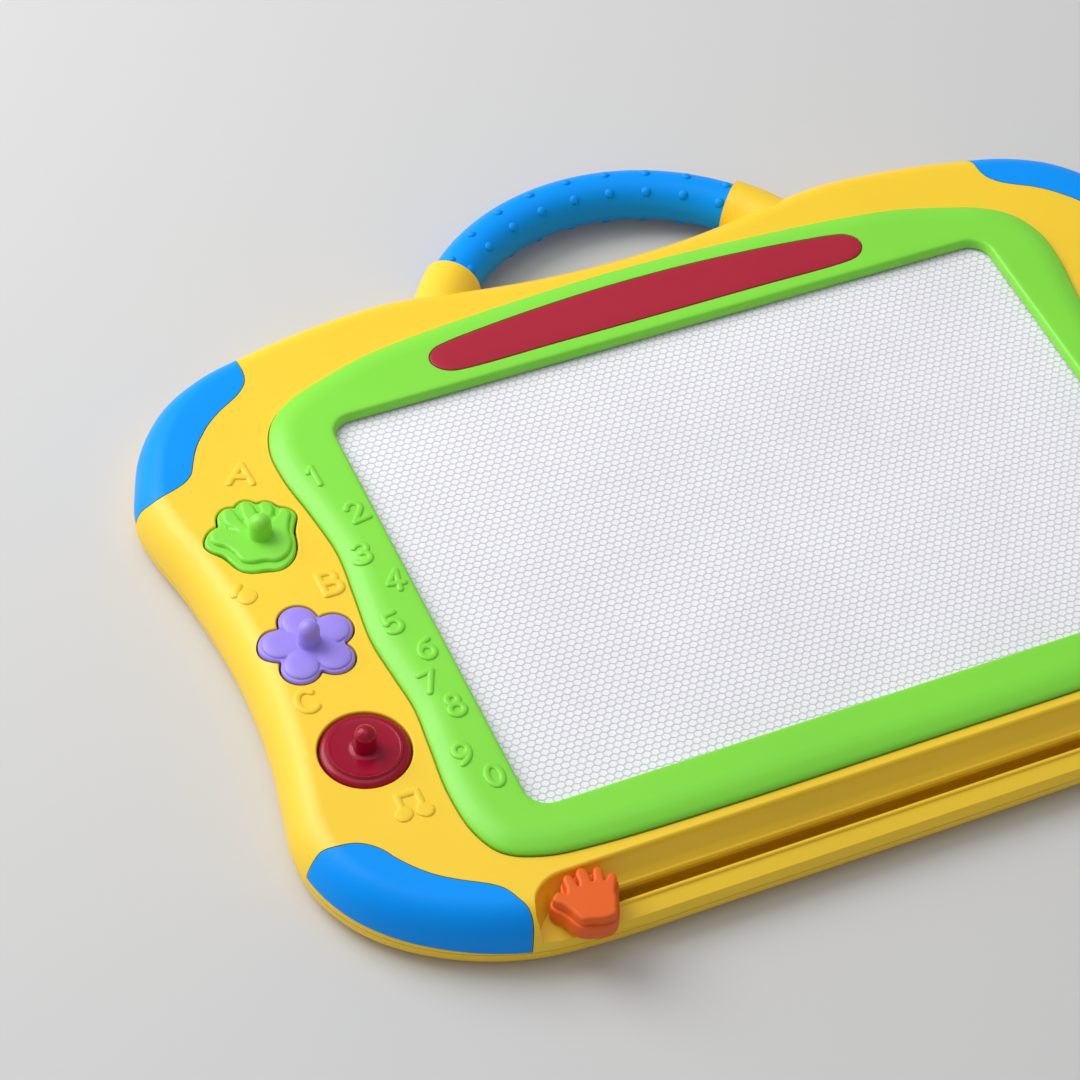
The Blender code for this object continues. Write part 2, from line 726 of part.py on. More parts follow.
def rounded_top(low, high, edge, inset=0.0):
    """A plain wall with a rounded upper edge."""
    profile = [(inset, low)]
    for step in range(edge_steps + 1):
        angle = math.tau / 4 * step / edge_steps
        profile.append((inset + edge * (1 - math.cos(angle)), high - edge + edge * math.sin(angle)))
    return profile


# Outlines in use

case_half = scaled_outline(case_outline_shares, case_half_width, case_rear_reach, case_front_reach)
case_outline = smooth_loop(with_mirror(case_half), outline_span_steps)
hidden_outline = smooth_loop(with_mirror(case_half), hidden_span_steps)
bezel_half = scaled_outline(bezel_outline_shares, bezel_half_width, bezel_rear_reach, bezel_front_reach)
bezel_outline = smooth_loop(with_mirror(bezel_half), outline_span_steps)
guard_outlines = {}
for end_name, shares in (("rear", rear_guard_shares), ("front", front_guard_shares)):
    left = smooth_loop(scaled_outline(shares, case_half_width, case_rear_reach, case_front_reach),
                       outline_span_steps)
    guard_outlines[end_name + "_left"] = left
    guard_outlines[end_name + "_right"] = mirrored(left)

hand_outline = smooth_loop(scaled_outline(hand_outline_shares, hand_half_width, hand_half_height,
                                          hand_half_height), small_outline_span_steps)
hand_tier = smooth_loop(scaled_outline(hand_tier_shares, hand_half_width, hand_half_height,
                                       hand_half_height), small_outline_span_steps)
knob_outline = smooth_loop(scaled_outline(knob_outline_shares, knob_half_width, knob_half_height,
                                          knob_half_height), small_outline_span_steps)
disc_outline = circle_loop((0.0, 0.0), disc_radius)


def case_front_at(x):
    """How far the case reaches to the front at one x."""
    for start, end in zip(case_outline, case_outline[1:] + case_outline[:1]):
        if start.y < 0 and min(start.x, end.x) <= x < max(start.x, end.x):
            return -start.lerp(end, (x - start.x) / (end.x - start.x)).y


foot_front = case_front_at(eraser_rest) - foot_wall_gap


def petal_loop(reach, radius, arc_steps=petal_arc_steps):
    """Outline of overlapping petal circles around the origin, one petal pointing to +Y."""
    half_turn = math.tau / petal_count / 2
    # Where two neighbouring petals meet, seen from a petal's own centre.
    crossing = reach * math.cos(half_turn) + math.sqrt(radius ** 2 - (reach * math.sin(half_turn)) ** 2)
    meeting = Vector((-math.sin(half_turn), math.cos(half_turn))) * crossing - Vector((0.0, reach))
    limit = math.atan2(-meeting.x, meeting.y)
    loop = []
    for petal in range(petal_count):
        turn = Matrix.Rotation(math.tau * petal / petal_count, 2)
        for step in range(arc_steps):
            angle = -limit + 2 * limit * step / arc_steps
            loop.append(turn @ Vector((-radius * math.sin(angle), reach + radius * math.cos(angle))))
    return loop


flower_outline = petal_loop(petal_reach, petal_radius)
flower_tier = petal_loop(petal_tier_reach, petal_tier_radius)


def trough_plan():
    """Plan of the trough: rounded rear corners, open past the case's front."""
    corners = rounded_rectangle(trough_half_length, trough_corner * 3, trough_corner, corner_steps=5,
                                middle=(0.0, -trough_back - trough_corner * 3))
    return corners


def trough_section(back_shift=0.0, drop=0.0):
    """(y, z) section of the space above the trough's floor, from the rear wall to past the nose."""
    floor = trough_floor_height - drop
    return [
        (-trough_back + trough_wall_lean + back_shift + overrun, case_top + overrun * 3),
        (-trough_back + back_shift, trough_wall_foot_height - drop),
        (-trough_band_foot + back_shift, floor),
        (-deck_back, floor - deck_drop),
        (-deck_front, floor - deck_front_drop),
        (-deck_front - nose_width, floor - nose_drop),
        (-deck_front - nose_width * 6, floor - nose_drop * 2),
        (-deck_front - nose_width * 6, case_top + overrun * 3),
    ]


# Small tools for bosses and screws

def both_sides(places):
    return [(side * x, y) for x, y in places for side in (-1, 1)]


def screw(name, place, radius, head_radius, head_height, low, tip):
    """A cheese-head screw pointing up, its head's outer face at height low."""
    recess = head_height * drive_depth_share
    drive = head_radius * drive_width_share
    profile = [
        (0.0, low + recess), (drive, low), (head_radius, low), (head_radius, low + head_height),
        (radius, low + head_height), (radius, tip - radius), (0.0, tip),
    ]
    piece = turned(name, profile, screw_segments)
    piece.location = (*place, 0.0)
    return finish(piece, name, steel)


# Pillow-shaped solids of the case

def shell_pillow(name, low, depth=0.0, outline=None):
    return stacked(name, outline or case_outline, shoulder_profile(low, depth))


# Back cover

panel_half_width = screen_width / 2 + panel_margin
panel_half_height = screen_height / 2 + panel_margin
frame_half_width = panel_half_width + panel_clearance
frame_half_height = panel_half_height + panel_clearance
shell_foot = parting_height + parting_gap / 2
cover_rim = parting_height - parting_gap / 2
socket_ends = (handle_grip_half_angle, handle_grip_half_angle + socket_angle)


def socket_tube(name, radius, side, first, last):
    return arc_tube(name, radius, side * first, side * last, socket_steps)


def sockets(radius, low, high):
    """The two socket tubes, kept between two heights."""
    tubes = []
    for side in (-1, 1):
        tube = socket_tube("socket", radius, side, *socket_ends)
        reach = case_half_width
        tubes.append(keep(tube, block("slab", (-reach, 0.0, low), (reach, reach, high))))
    return tubes


def socket_bores(radius):
    return [socket_tube("bore", radius, side, handle_grip_half_angle - socket_mouth_angle,
                        handle_grip_half_angle + handle_bore_angle) for side in (-1, 1)]


cover = stacked("cover", case_outline, belly_profile(cover_rim))
join(cover, *sockets(socket_radius, socket_low, cover_rim - rim_step))
tongue_start = case_wall + fit_gap
tongue = prism("tongue", inset_loop(hidden_outline, tongue_start), tongue_foot, tongue_top)
cut(tongue,
    block("tongue_break", (-trough_half_length - overrun, -case_rear_reach, tongue_foot - overrun),
          (trough_half_length + overrun, -trough_back, tongue_top + overrun)),
    *[socket_tube("tongue_break", socket_radius + fit_gap * 2, side, 0.0, socket_ends[1])
      for side in (-1, 1)])
join(cover, tongue)
cut(cover, stacked("cover_inside", hidden_outline, [
    *belly_profile(tongue_foot, floor_wall, case_wall),
    (tongue_start + tongue_width, tongue_foot + tongue_width),
    (tongue_start + tongue_width, tongue_top + overrun),
]))
cut(cover, *socket_bores(handle_grip_radius + fit_gap))
for place in both_sides(case_screw_places):
    join(cover, upright("boss", place, cover_boss_radius, floor_wall / 2, cover_rim - rim_step * 2))
for place in both_sides(case_screw_places):
    cut(cover,
        upright("head_recess", place, case_screw_head_radius + hole_gap, -overrun, case_screw_seat_height),
        upright("hole", place, case_screw_radius + hole_gap, floor_wall / 2, parting_height + overrun))
rail_half_length = slot_half_length
for rail_y in (-front_rail, rear_rail):
    join(cover, block("rail", (-rail_half_length, rail_y - rail_thickness / 2, floor_wall / 2),
                      (rail_half_length, rail_y + rail_thickness / 2, rail_top)))
back_cover = finish(cover, "back_cover", yellow_plastic)


# Front shell

pockets = {
    "hand": placed(inset_loop(hand_outline, -pocket_side_gap), hand_middle),
    "flower": placed(inset_loop(flower_outline, -pocket_side_gap), flower_middle),
    "disc": placed(inset_loop(disc_outline, -pocket_side_gap), disc_middle),
}
channel_radius = pen_radius + channel_side_gap
pen_axis_height = case_top - pen_sink
pen_length = pen_barrel_length + pen_cone_length + pen_cap_length
channel_half_length = (pen_length + pen_tip_show) / 2 + channel_end_gap


def channel_shape(name, growth):
    """A round-bottomed channel for the pen, open at the case's top; growth gives its outer walls."""
    radius = channel_radius + growth
    steps = circle_steps // 2
    section = [(radius * math.cos(math.pi * i / steps), pen_axis_height - radius * math.sin(math.pi * i / steps))
               for i in range(steps + 1)]
    high = case_top - case_wall / 2 if growth else case_top + overrun
    section = [(radius, high)] + section + [(-radius, high)]
    half = channel_half_length + growth
    piece = prism(name, [Vector(point) for point in section], -half, half)
    piece.data.transform(Matrix.Translation((*pen_middle, 0.0)) @ Matrix.Rotation(math.tau / 4, 4, "X"))
    return piece


cavity = shell_pillow("cavity", shell_foot - overrun, case_wall, hidden_outline)
cut(cavity, *[prism(name + "_well", inset_loop(loop, -pocket_skin), pocket_floor_height - pocket_skin,
                    case_top + overrun) for name, loop in pockets.items()])
cut(cavity, channel_shape("channel_well", pocket_skin))
trough_well = extruded_along_x("trough_well", trough_section(trough_skin, trough_skin),
                               trough_half_length + trough_skin)
keep(trough_well, prism("trough_plan", inset_loop(trough_plan(), -trough_skin), parting_height - overrun * 2,
                        case_top + overrun * 4))
cut(cavity, trough_well)
cut(cavity, prism("frame", rounded_rectangle(frame_half_width + case_wall, frame_half_height + case_wall,
                                             screen_corner), panel_seat_height - ledge_thickness, case_top + overrun))
shell = shell_pillow("shell", shell_foot)
cut(shell, cavity)
for place in both_sides(case_screw_places):
    join(shell, upright("boss", place, case_boss_radius, shell_foot + boss_gap, case_top - case_wall / 2))
join(shell, *sockets(socket_radius, shell_foot + rim_step, case_top + overrun))
cut(shell, *socket_bores(handle_grip_radius + fit_gap))
for place in both_sides(case_screw_places):
    cut(shell, upright("pilot", place, case_screw_radius + pilot_gap, shell_foot - overrun,
                       case_screw_tip_height + fit_gap, screw_segments))
for name, loop in pockets.items():
    cut(shell, stacked(name + "_pocket", loop, flared_profile(pocket_floor_height, pocket_rim)))
cut(shell, channel_shape("channel", 0.0))
cut(shell, upright("scoop", pen_middle, scoop_radius, scoop_height, case_top + overrun, circle_steps))
trough = extruded_along_x("trough", trough_section(), trough_half_length + overrun)
keep(trough, stacked("trough_plan", trough_plan(), [
    (trough_band_width, trough_floor_height - nose_drop * 3), (trough_band_width, trough_floor_height),
    (0.0, trough_wall_foot_height), *flared_profile(trough_wall_foot_height + fit_gap, trough_rim)[0:]]))
cut(shell, trough)
join(shell,
     block("back_lip", (-slot_half_length - lip_width, -slot_middle + slot_width / 2 + lip_foot - fit_gap,
                        trough_floor_height - lip_root),
           (slot_half_length + lip_width, -slot_middle + slot_width / 2 + lip_foot + lip_width,
            trough_floor_height + back_lip_height)),
     block("front_lip", (-slot_half_length - lip_width, -slot_middle - slot_width / 2 - lip_width,
                         trough_floor_height - lip_root),
           (slot_half_length + lip_width, -slot_middle - slot_width / 2 - fit_gap,
            trough_floor_height + front_lip_height)))
cut(shell,
    block("slot", (-slot_half_length, -slot_middle - slot_width / 2, parting_height),
          (slot_half_length, -slot_middle + slot_width / 2, case_top)),
    prism("panel_opening", rounded_rectangle(frame_half_width, frame_half_height, screen_corner),
          panel_seat_height, case_top + overrun),
    prism("ledge_opening", rounded_rectangle(frame_half_width - ledge_width, frame_half_height - ledge_width,
                                             screen_corner / 2), parting_height, panel_seat_height + overrun))
for place in both_sides(bezel_screw_places):
    cut(shell, upright("bezel_hole", place, bezel_screw_radius + hole_gap, case_top - case_wall - overrun,
                       case_top + overrun, screw_segments))
for corner, outline in guard_outlines.items():
    recess = prism("recess", inset_loop(outline, -guard_side_gap), parting_height - overrun,
                   case_top + overrun)
    cut(recess, shell_pillow("recess_floor", parting_height - overrun * 2, guard_thickness + guard_seat_gap,
                             hidden_outline))
    cut(shell, recess)
front_shell = finish(shell, "front_shell", yellow_plastic)


# Corner guards

for corner, outline in guard_outlines.items():
    guard = shell_pillow("guard", shell_foot + guard_foot_gap)
    keep(guard, prism("guard_plan", outline, parting_height, case_top + overrun))
    cut(guard, shell_pillow("guard_inside", parting_height - overrun, guard_thickness))
    finish(guard, corner + "_corner_guard", blue_plastic)


# Bezel: one closed section carried between its wavy outer outline and the screen opening

opening = rounded_rectangle(screen_width / 2, screen_height / 2, screen_corner, bezel_corner_steps)


def nearest_on_opening(point):
    """Closest point of the rounded screen opening, and the direction from it to the given point."""
    straight_x = screen_width / 2 - screen_corner
    straight_y = screen_height / 2 - screen_corner
    from_middle = point - Vector(screen_middle)
    core = Vector(screen_middle) + Vector((max(-straight_x, min(straight_x, from_middle.x)),
                                           max(-straight_y, min(straight_y, from_middle.y))))
    away = (point - core).normalized()
    return core + away * screen_corner, away


bezel_foot = case_top + bezel_foot_gap
bezel_outer_profile = [
    (bezel_wall, bezel_foot), (0.0, bezel_foot), (0.0, bezel_foot + bezel_foot_height),
    *[(bezel_slope * share, bezel_foot + bezel_foot_height
       + (bezel_crest - bezel_foot - bezel_foot_height) * rise) for share, rise in bezel_slope_shares],
]
bezel_lip_bottom = panel_front_height + bezel_foot_gap
bezel_inner_profile = [
    *[(bezel_lip_slope * share, bezel_lip_edge + (bezel_crest - bezel_lip_edge) * rise)
      for share, rise in bezel_lip_shares],
    (0.0, bezel_lip_edge), (0.0, bezel_lip_bottom), (bezel_lip_width, bezel_lip_bottom),
    (bezel_lip_width + bezel_wall / 2, bezel_crest - bezel_wall),
]
feet = [nearest_on_opening(p) for p in bezel_outline]
bezel_rings = [raised(inset_loop(bezel_outline, inset), height) for inset, height in bezel_outer_profile]
bezel_rings += [[Vector((*(foot + away * outset), height)) for foot, away in feet]
                for outset, height in bezel_inner_profile]
bezel_rings.append(raised(inset_loop(bezel_outline, bezel_slope), bezel_crest - bezel_wall))
bezel_piece = loft("bezel", bezel_rings, closed=True)
for place in both_sides(bezel_screw_places):
    join(bezel_piece, upright("boss", place, bezel_boss_radius, bezel_foot, bezel_crest - bezel_wall / 2,
                              screw_segments))
for place in both_sides(bezel_screw_places):
    cut(bezel_piece, upright("pilot", place, bezel_screw_radius + pilot_gap, case_top - overrun,
                             bezel_foot + bezel_screw_grip + fit_gap, screw_segments))


def nameplate_loop():
    half = scaled_outline(nameplate_outline_shares, nameplate_half_width, nameplate_rise, nameplate_rise)
    return smooth_loop(placed(with_mirror(half), (0.0, nameplate_foot)), outline_span_steps)


nameplate_outline = nameplate_loop()
cut(bezel_piece, prism("nameplate_seat", inset_loop(nameplate_outline, -nameplate_gap),
                       bezel_crest - nameplate_sink, bezel_crest + overrun))
bezel = finish(bezel_piece, "bezel", green_plastic)
plate_bottom = bezel_crest - nameplate_sink + nameplate_gap
plate = stacked("plate", nameplate_outline, [
    (0.0, plate_bottom), (0.0, bezel_crest - nameplate_edge),
    (nameplate_edge, bezel_crest), (nameplate_crown_width, bezel_crest + nameplate_crown / 2),
    (nameplate_crown_width * 2, bezel_crest + nameplate_crown),
])
nameplate = finish(plate, "nameplate", crimson_plastic)


# Screen laminate

def panel_layer(name, high, thickness, layer_material):
    outline = rounded_rectangle(panel_half_width, panel_half_height, screen_corner, 4)
    return finish(prism(name, outline, high - thickness, high), name, layer_material)


core_top = panel_front_height - front_film_thickness - lamination_gap
back_film_top = core_top - core_thickness - lamination_gap
panel_front_film = panel_layer("panel_front_film", panel_front_height, front_film_thickness, clear_film)
honeycomb_core = panel_layer("honeycomb_core", core_top, core_thickness, white_core)
panel_back_film = panel_layer("panel_back_film", back_film_top, back_film_thickness, clear_film)


# Carry handle

grip_end = handle_grip_half_angle + handle_tail_angle
handle_grip = finish(arc_tube("grip", handle_grip_radius, -grip_end, grip_end, grip_steps),
                     "handle_grip", blue_plastic)


# Eraser, drawn about x = 0 and placed at its left stop

bar_bottom = bar_top - bar_height
web_front = web_back + web_thickness
bar = block("bar", (-bar_width / 2, -web_front, bar_bottom), (bar_width / 2, bar_rear, bar_top))
join(bar,
     block("web", (-foot_width / 2, -web_front, foot_bottom), (foot_width / 2, -web_back, bar_top - fit_gap)),
     block("foot", (-foot_width / 2, -foot_front, foot_bottom), (foot_width / 2, -web_back - fit_gap, foot_top)),
     block("rear_leg", (-foot_width / 2, bar_rear - rear_foot_length, foot_bottom),
           (foot_width / 2, bar_rear - fit_gap, bar_top - fit_gap)))
for rail_y in (-front_rail, rear_rail):
    cut(bar, block("groove", (-foot_width, rail_y - rail_thickness / 2 - rail_gap, foot_bottom - overrun),
                   (foot_width, rail_y + rail_thickness / 2 + rail_gap, rail_top + rail_gap)))
magnet_seat = bar_top - magnet_seat_depth
cut(bar,
    block("magnet_seat", (-magnet_width / 2 - magnet_air_gap, -magnet_front - magnet_air_gap,
                          magnet_seat),
          (magnet_width / 2 + magnet_air_gap, magnet_rear + magnet_air_gap, bar_top + overrun)),
    block("stem_socket", (-stem_length / 2 - stem_foot_gap, -slot_middle - stem_thickness / 2 - stem_foot_gap,
                          foot_bottom - overrun),
          (stem_length / 2 + stem_foot_gap, -slot_middle + stem_thickness / 2 + stem_foot_gap,
           foot_top + overrun)))


def lying_pin(name, radius, first_y, last_y, height):
    """A round pin along Y."""
    pin = turned(name, [(0.0, 0.0), (radius, 0.0), (radius, last_y - first_y), (0.0, last_y - first_y)],
                 screw_segments)
    pin.data.transform(Matrix.Translation((0.0, first_y, height)) @ Matrix.Rotation(-math.tau / 4, 4, "X"))
    return pin


pin_start = -foot_front + fit_gap
cut(bar, lying_pin("pin_bore", pin_radius + pilot_gap, -foot_front - overrun, pin_start + pin_length + fit_gap,
                   pin_height))
eraser_bar = finish(bar, "eraser_bar", white_core)

knob_base_top = knob_base_height + knob_base_thickness
knob = stacked("knob", placed(inset_loop(knob_outline, -knob_base_growth), (0.0, -knob_middle)),
               rounded_top(knob_base_height, knob_base_top, knob_edge))
join(knob, stacked("knob_tier", placed(knob_outline, (0.0, -knob_middle)),
                   rounded_top(knob_base_top - knob_edge * 2, knob_base_top + knob_top_thickness, knob_edge)))
band_run = trough_band_width
band_fall = trough_wall_foot_height - trough_floor_height
reach = knob_half_width * 2
cut(knob, extruded_along_x("knob_back", [
    (-knob_back_limit - band_run, knob_base_height - band_fall + knob_band_lift),
    (-knob_back_limit, knob_base_height + knob_band_lift),
    (-knob_back_limit, bezel_crest + overrun),
    (-knob_back_limit + band_run * 2, bezel_crest + overrun),
    (-knob_back_limit + band_run * 2, knob_base_height - band_fall + knob_band_lift),
], reach))
join(knob, block("stem", (-stem_length / 2, -slot_middle - stem_thickness / 2, stem_bottom),
                 (stem_length / 2, -slot_middle + stem_thickness / 2, knob_base_height + overrun)))
cut(knob, lying_pin("pin_hole", pin_radius + pilot_gap, -foot_front - overrun, -web_back, pin_height))
eraser_knob = finish(knob, "eraser_knob", orange_plastic)
knob_pin = finish(lying_pin("pin", pin_radius, pin_start, pin_start + pin_length, pin_height), "knob_pin", steel)
eraser_magnet = finish(
    block("magnet", (-magnet_width / 2, -magnet_front, magnet_seat + magnet_air_gap),
          (magnet_width / 2, magnet_rear, magnet_seat + magnet_air_gap + magnet_height)),
    "eraser_magnet", dark_magnet)


# Stamps, drawn about their own middles

def peg_profile(radius, low, height):
    top = low + height
    dome = [(radius * peg_taper_share * share, top - peg_dome * drop) for share, drop in peg_dome_shares]
    return [(0.0, low - stamp_step_height), (radius + peg_foot_fillet, low - stamp_step_height),
            (radius + peg_foot_fillet, low + stamp_step_edge / 2),
            (radius + peg_foot_fillet / 3, low + peg_foot_fillet / 2), (radius, low + peg_foot_fillet * 1.5),
            *dome, (0.0, top)]


def stamp(name, outline, tier, middle, peg_place, peg_radius, peg_height, stamp_material):
    """A two-step stamp with its peg, and the magnet sheet below it."""
    body_bottom = pocket_floor_height + fit_gap + stamp_magnet_thickness + lamination_gap
    tier_top = stamp_lower_top + stamp_step_height
    body = stacked(name, outline, rounded_top(body_bottom, stamp_lower_top, stamp_edge))
    join(body, stacked("tier", tier, rounded_top(stamp_lower_top - stamp_edge * 2, tier_top, stamp_step_edge)))
    peg = turned("peg", peg_profile(peg_radius, tier_top, peg_height), circle_steps // 2)
    peg.data.transform(Matrix.Translation((*peg_place, 0.0)))
    join(body, peg)
    finish(body, name + "_stamp", stamp_material)
    sheet = prism(name + "_sheet", inset_loop(outline, stamp_magnet_inset), pocket_floor_height + fit_gap,
                  pocket_floor_height + fit_gap + stamp_magnet_thickness)
    finish(sheet, name + "_stamp_magnet", dark_magnet)
    body.location = (*middle, 0.0)
    sheet.parent = body
    return body


hand_stamp = stamp("hand", hand_outline, hand_tier, hand_middle, hand_peg_offset, hand_peg_radius,
                   hand_peg_height, green_plastic)
flower_stamp = stamp("flower", flower_outline, flower_tier, flower_middle, (0.0, 0.0), flower_peg_radius,
                     flower_peg_height, purple_plastic)
disc_stamp = stamp("disc", disc_outline, inset_loop(disc_outline, disc_tier_inset), disc_middle, (0.0, 0.0),
                   disc_peg_radius, disc_peg_height, red_plastic)


# Pen, turned about its own axis from the tip backwards

def lay_along_y(piece, start):
    piece.data.transform(Matrix.Translation((0.0, start, 0.0)) @ Matrix.Rotation(-math.tau / 4, 4, "X"))
    return piece


pen_start = -pen_length / 2
cap_seat = pen_cone_length + pen_barrel_length
bore_radius = pen_radius - pen_wall
barrel = turned("barrel", [
    (0.0, pen_tip_length - pen_tip_show + fit_gap), (pen_tip_radius + pilot_gap, pen_tip_length - pen_tip_show + fit_gap),
    (pen_tip_radius + pilot_gap, 0.0), (pen_tip_radius + pen_nose_wall, 0.0),
    (pen_radius * pen_cone_share, pen_cone_length * pen_cone_bulge), (pen_radius, pen_cone_length),
    (pen_radius, cap_seat), (bore_radius, cap_seat), (bore_radius, pen_cone_length), (0.0, pen_cone_length),
], pen_segments)
tip = turned("tip", [
    (0.0, pen_tip_length - pen_tip_show), (pen_tip_radius, pen_tip_length - pen_tip_show),
    (pen_tip_radius, -pen_tip_show * pen_tip_round), (pen_tip_radius * pen_tip_round, -pen_tip_show),
    (0.0, -pen_tip_show),
], pen_segments)
cap = turned("cap", [
    (0.0, cap_seat - pen_cap_plug), (bore_radius - pilot_gap, cap_seat - pen_cap_plug),
    (bore_radius - pilot_gap, cap_seat + pilot_gap), (pen_radius, cap_seat + pilot_gap),
    (pen_radius, cap_seat + pen_cap_length * pen_cap_shares[0]),
    (pen_radius * pen_cap_shares[1], cap_seat + pen_cap_length * pen_cap_shares[2]),
    (pen_radius * pen_cap_shares[3], cap_seat + pen_cap_length), (0.0, cap_seat + pen_cap_length),
], pen_segments)
pen_barrel = finish(lay_along_y(barrel, pen_start), "pen_barrel", blue_plastic)
pen_magnet_tip = finish(lay_along_y(tip, pen_start), "pen_magnet_tip", dark_magnet)
pen_end_cap = finish(lay_along_y(cap, pen_start), "pen_end_cap", yellow_plastic)
pen_barrel.location = (*pen_middle, pen_axis_height)


# Screws

for number, place in enumerate(both_sides(case_screw_places), 1):
    screw(f"case_screw_{number}", place, case_screw_radius, case_screw_head_radius, case_screw_head_height,
          case_screw_seat_height - case_screw_head_height - pilot_gap, case_screw_tip_height)
for number, place in enumerate(both_sides(bezel_screw_places), 1):
    screw(f"bezel_screw_{number}", place, bezel_screw_radius, bezel_screw_head_radius, bezel_screw_head_height,
          case_top - case_wall - bezel_screw_head_height - pilot_gap, bezel_foot + bezel_screw_grip)


# One parent centres the board: x and y about its outer size, z from its underside

board = bpy.data.objects.new("board_frame", None)
board_parts.objects.link(board)
rear_end = handle_arc_centre + handle_arc_radius + handle_grip_radius
front_end = -knob_middle - knob_half_height - knob_base_growth
board.location = (0.0, -(rear_end + front_end) / 2, 0.0)
eraser_bar.location = (eraser_rest, 0.0, 0.0)
for part in (eraser_knob, knob_pin, eraser_magnet):
    part.parent = eraser_bar
for part in (pen_magnet_tip, pen_end_cap):
    part.parent = pen_barrel
for part in board_parts.objects:
    if part is not board and part.parent is None:
        part.parent = board
bpy.data.collections.remove(cutters)
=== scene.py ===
import math
from functools import partial

import bmesh
import bpy
import numpy as np
from mathutils import Matrix, Vector
from mathutils.bvhtree import BVHTree
from mathutils.geometry import delaunay_2d_cdt


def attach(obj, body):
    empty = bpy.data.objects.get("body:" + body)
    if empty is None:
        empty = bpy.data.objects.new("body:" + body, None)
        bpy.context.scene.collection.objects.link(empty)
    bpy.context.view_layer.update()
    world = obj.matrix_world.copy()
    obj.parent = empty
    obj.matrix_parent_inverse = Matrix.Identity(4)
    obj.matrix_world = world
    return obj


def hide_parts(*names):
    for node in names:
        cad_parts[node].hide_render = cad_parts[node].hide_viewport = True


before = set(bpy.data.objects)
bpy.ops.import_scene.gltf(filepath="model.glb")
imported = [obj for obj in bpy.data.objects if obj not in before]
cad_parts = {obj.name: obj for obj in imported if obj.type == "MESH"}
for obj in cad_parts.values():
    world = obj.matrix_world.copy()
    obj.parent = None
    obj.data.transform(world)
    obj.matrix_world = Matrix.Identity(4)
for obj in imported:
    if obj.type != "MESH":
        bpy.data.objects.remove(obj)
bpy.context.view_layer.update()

# Pieces are modelled in millimetres about the middle of the screen; the frame counts in metres from the
# middle of the whole board, handle included
MM = 0.001
SHIFT_Y = -24.625 * MM
UP = Vector((0.0, 0.0, 1.0))

# Outlines; a half runs down the left side, from the rear middle to the front middle
CASE_HALF = [
    (0.0, 140.7), (-29.4, 141.9), (-60.8, 146.1), (-79.7, 149.5), (-95.4, 150.6), (-125.8, 148.0),
    (-151.4, 143.2), (-168.8, 138.3), (-185.6, 128.8), (-198.4, 114.0), (-204.7, 100.6), (-209.7, 85.1),
    (-208.4, 70.0), (-204.2, 48.9), (-200.7, 18.1), (-200.3, -8.2), (-202.6, -32.8), (-206.3, -52.6),
    (-209.1, -69.7), (-207.6, -84.8), (-200.7, -100.5), (-188.7, -113.9), (-169.9, -126.0), (-148.9, -133.4),
    (-125.8, -136.0), (-73.4, -136.4), (0.0, -136.7),
]
BEZEL_HALF = [
    (0.0, 127.6), (-44.2, 126.3), (-88.4, 122.9), (-110.5, 119.6), (-128.6, 114.2), (-142.8, 108.5),
    (-152.3, 100.5), (-157.2, 88.7), (-157.5, 74.6), (-154.5, 55.3), (-152.3, 35.2), (-153.9, 15.3),
    (-155.9, -5.6), (-154.5, -23.1), (-153.2, -37.8), (-154.6, -55.2), (-156.2, -74.4),
    (-154.6, -91.9), (-149.0, -103.1), (-136.5, -109.1), (-116.8, -111.5), (-71.0, -112.7), (0.0, -112.7),
]
REAR_GUARD = [
    (-146.8, 195.8), (-150.6, 159.6), (-151.9, 141.0), (-152.8, 134.0), (-152.8, 129.5), (-153.4, 125.9),
    (-154.6, 123.4), (-156.8, 120.9), (-159.4, 118.8), (-163.5, 116.3), (-168.0, 113.6), (-173.4, 109.3),
    (-177.4, 105.0), (-180.4, 101.4), (-183.0, 97.2), (-185.2, 92.8), (-187.2, 88.9), (-190.2, 86.2),
    (-194.6, 84.3), (-198.2, 83.2), (-201.7, 82.6), (-205.0, 82.7), (-208.2, 84.2), (-222.3, 90.0),
    (-262.1, 98.0), (-241.2, 173.2), (-188.7, 210.8),
]
FRONT_GUARD = [
    (-262.1, -98.4), (-222.3, -82.0), (-206.6, -80.4), (-203.0, -79.8), (-198.4, -80.9), (-192.7, -81.9),
    (-188.9, -83.8), (-185.0, -87.5), (-182.0, -92.4), (-177.8, -98.0), (-172.8, -103.1), (-166.9, -107.4),
    (-160.8, -111.1), (-156.9, -113.6), (-153.7, -116.7), (-151.4, -121.4), (-149.7, -125.5),
    (-149.7, -130.0), (-151.8, -135.6), (-153.1, -150.4), (-151.0, -184.5), (-199.2, -191.4),
    (-247.4, -157.2),
]

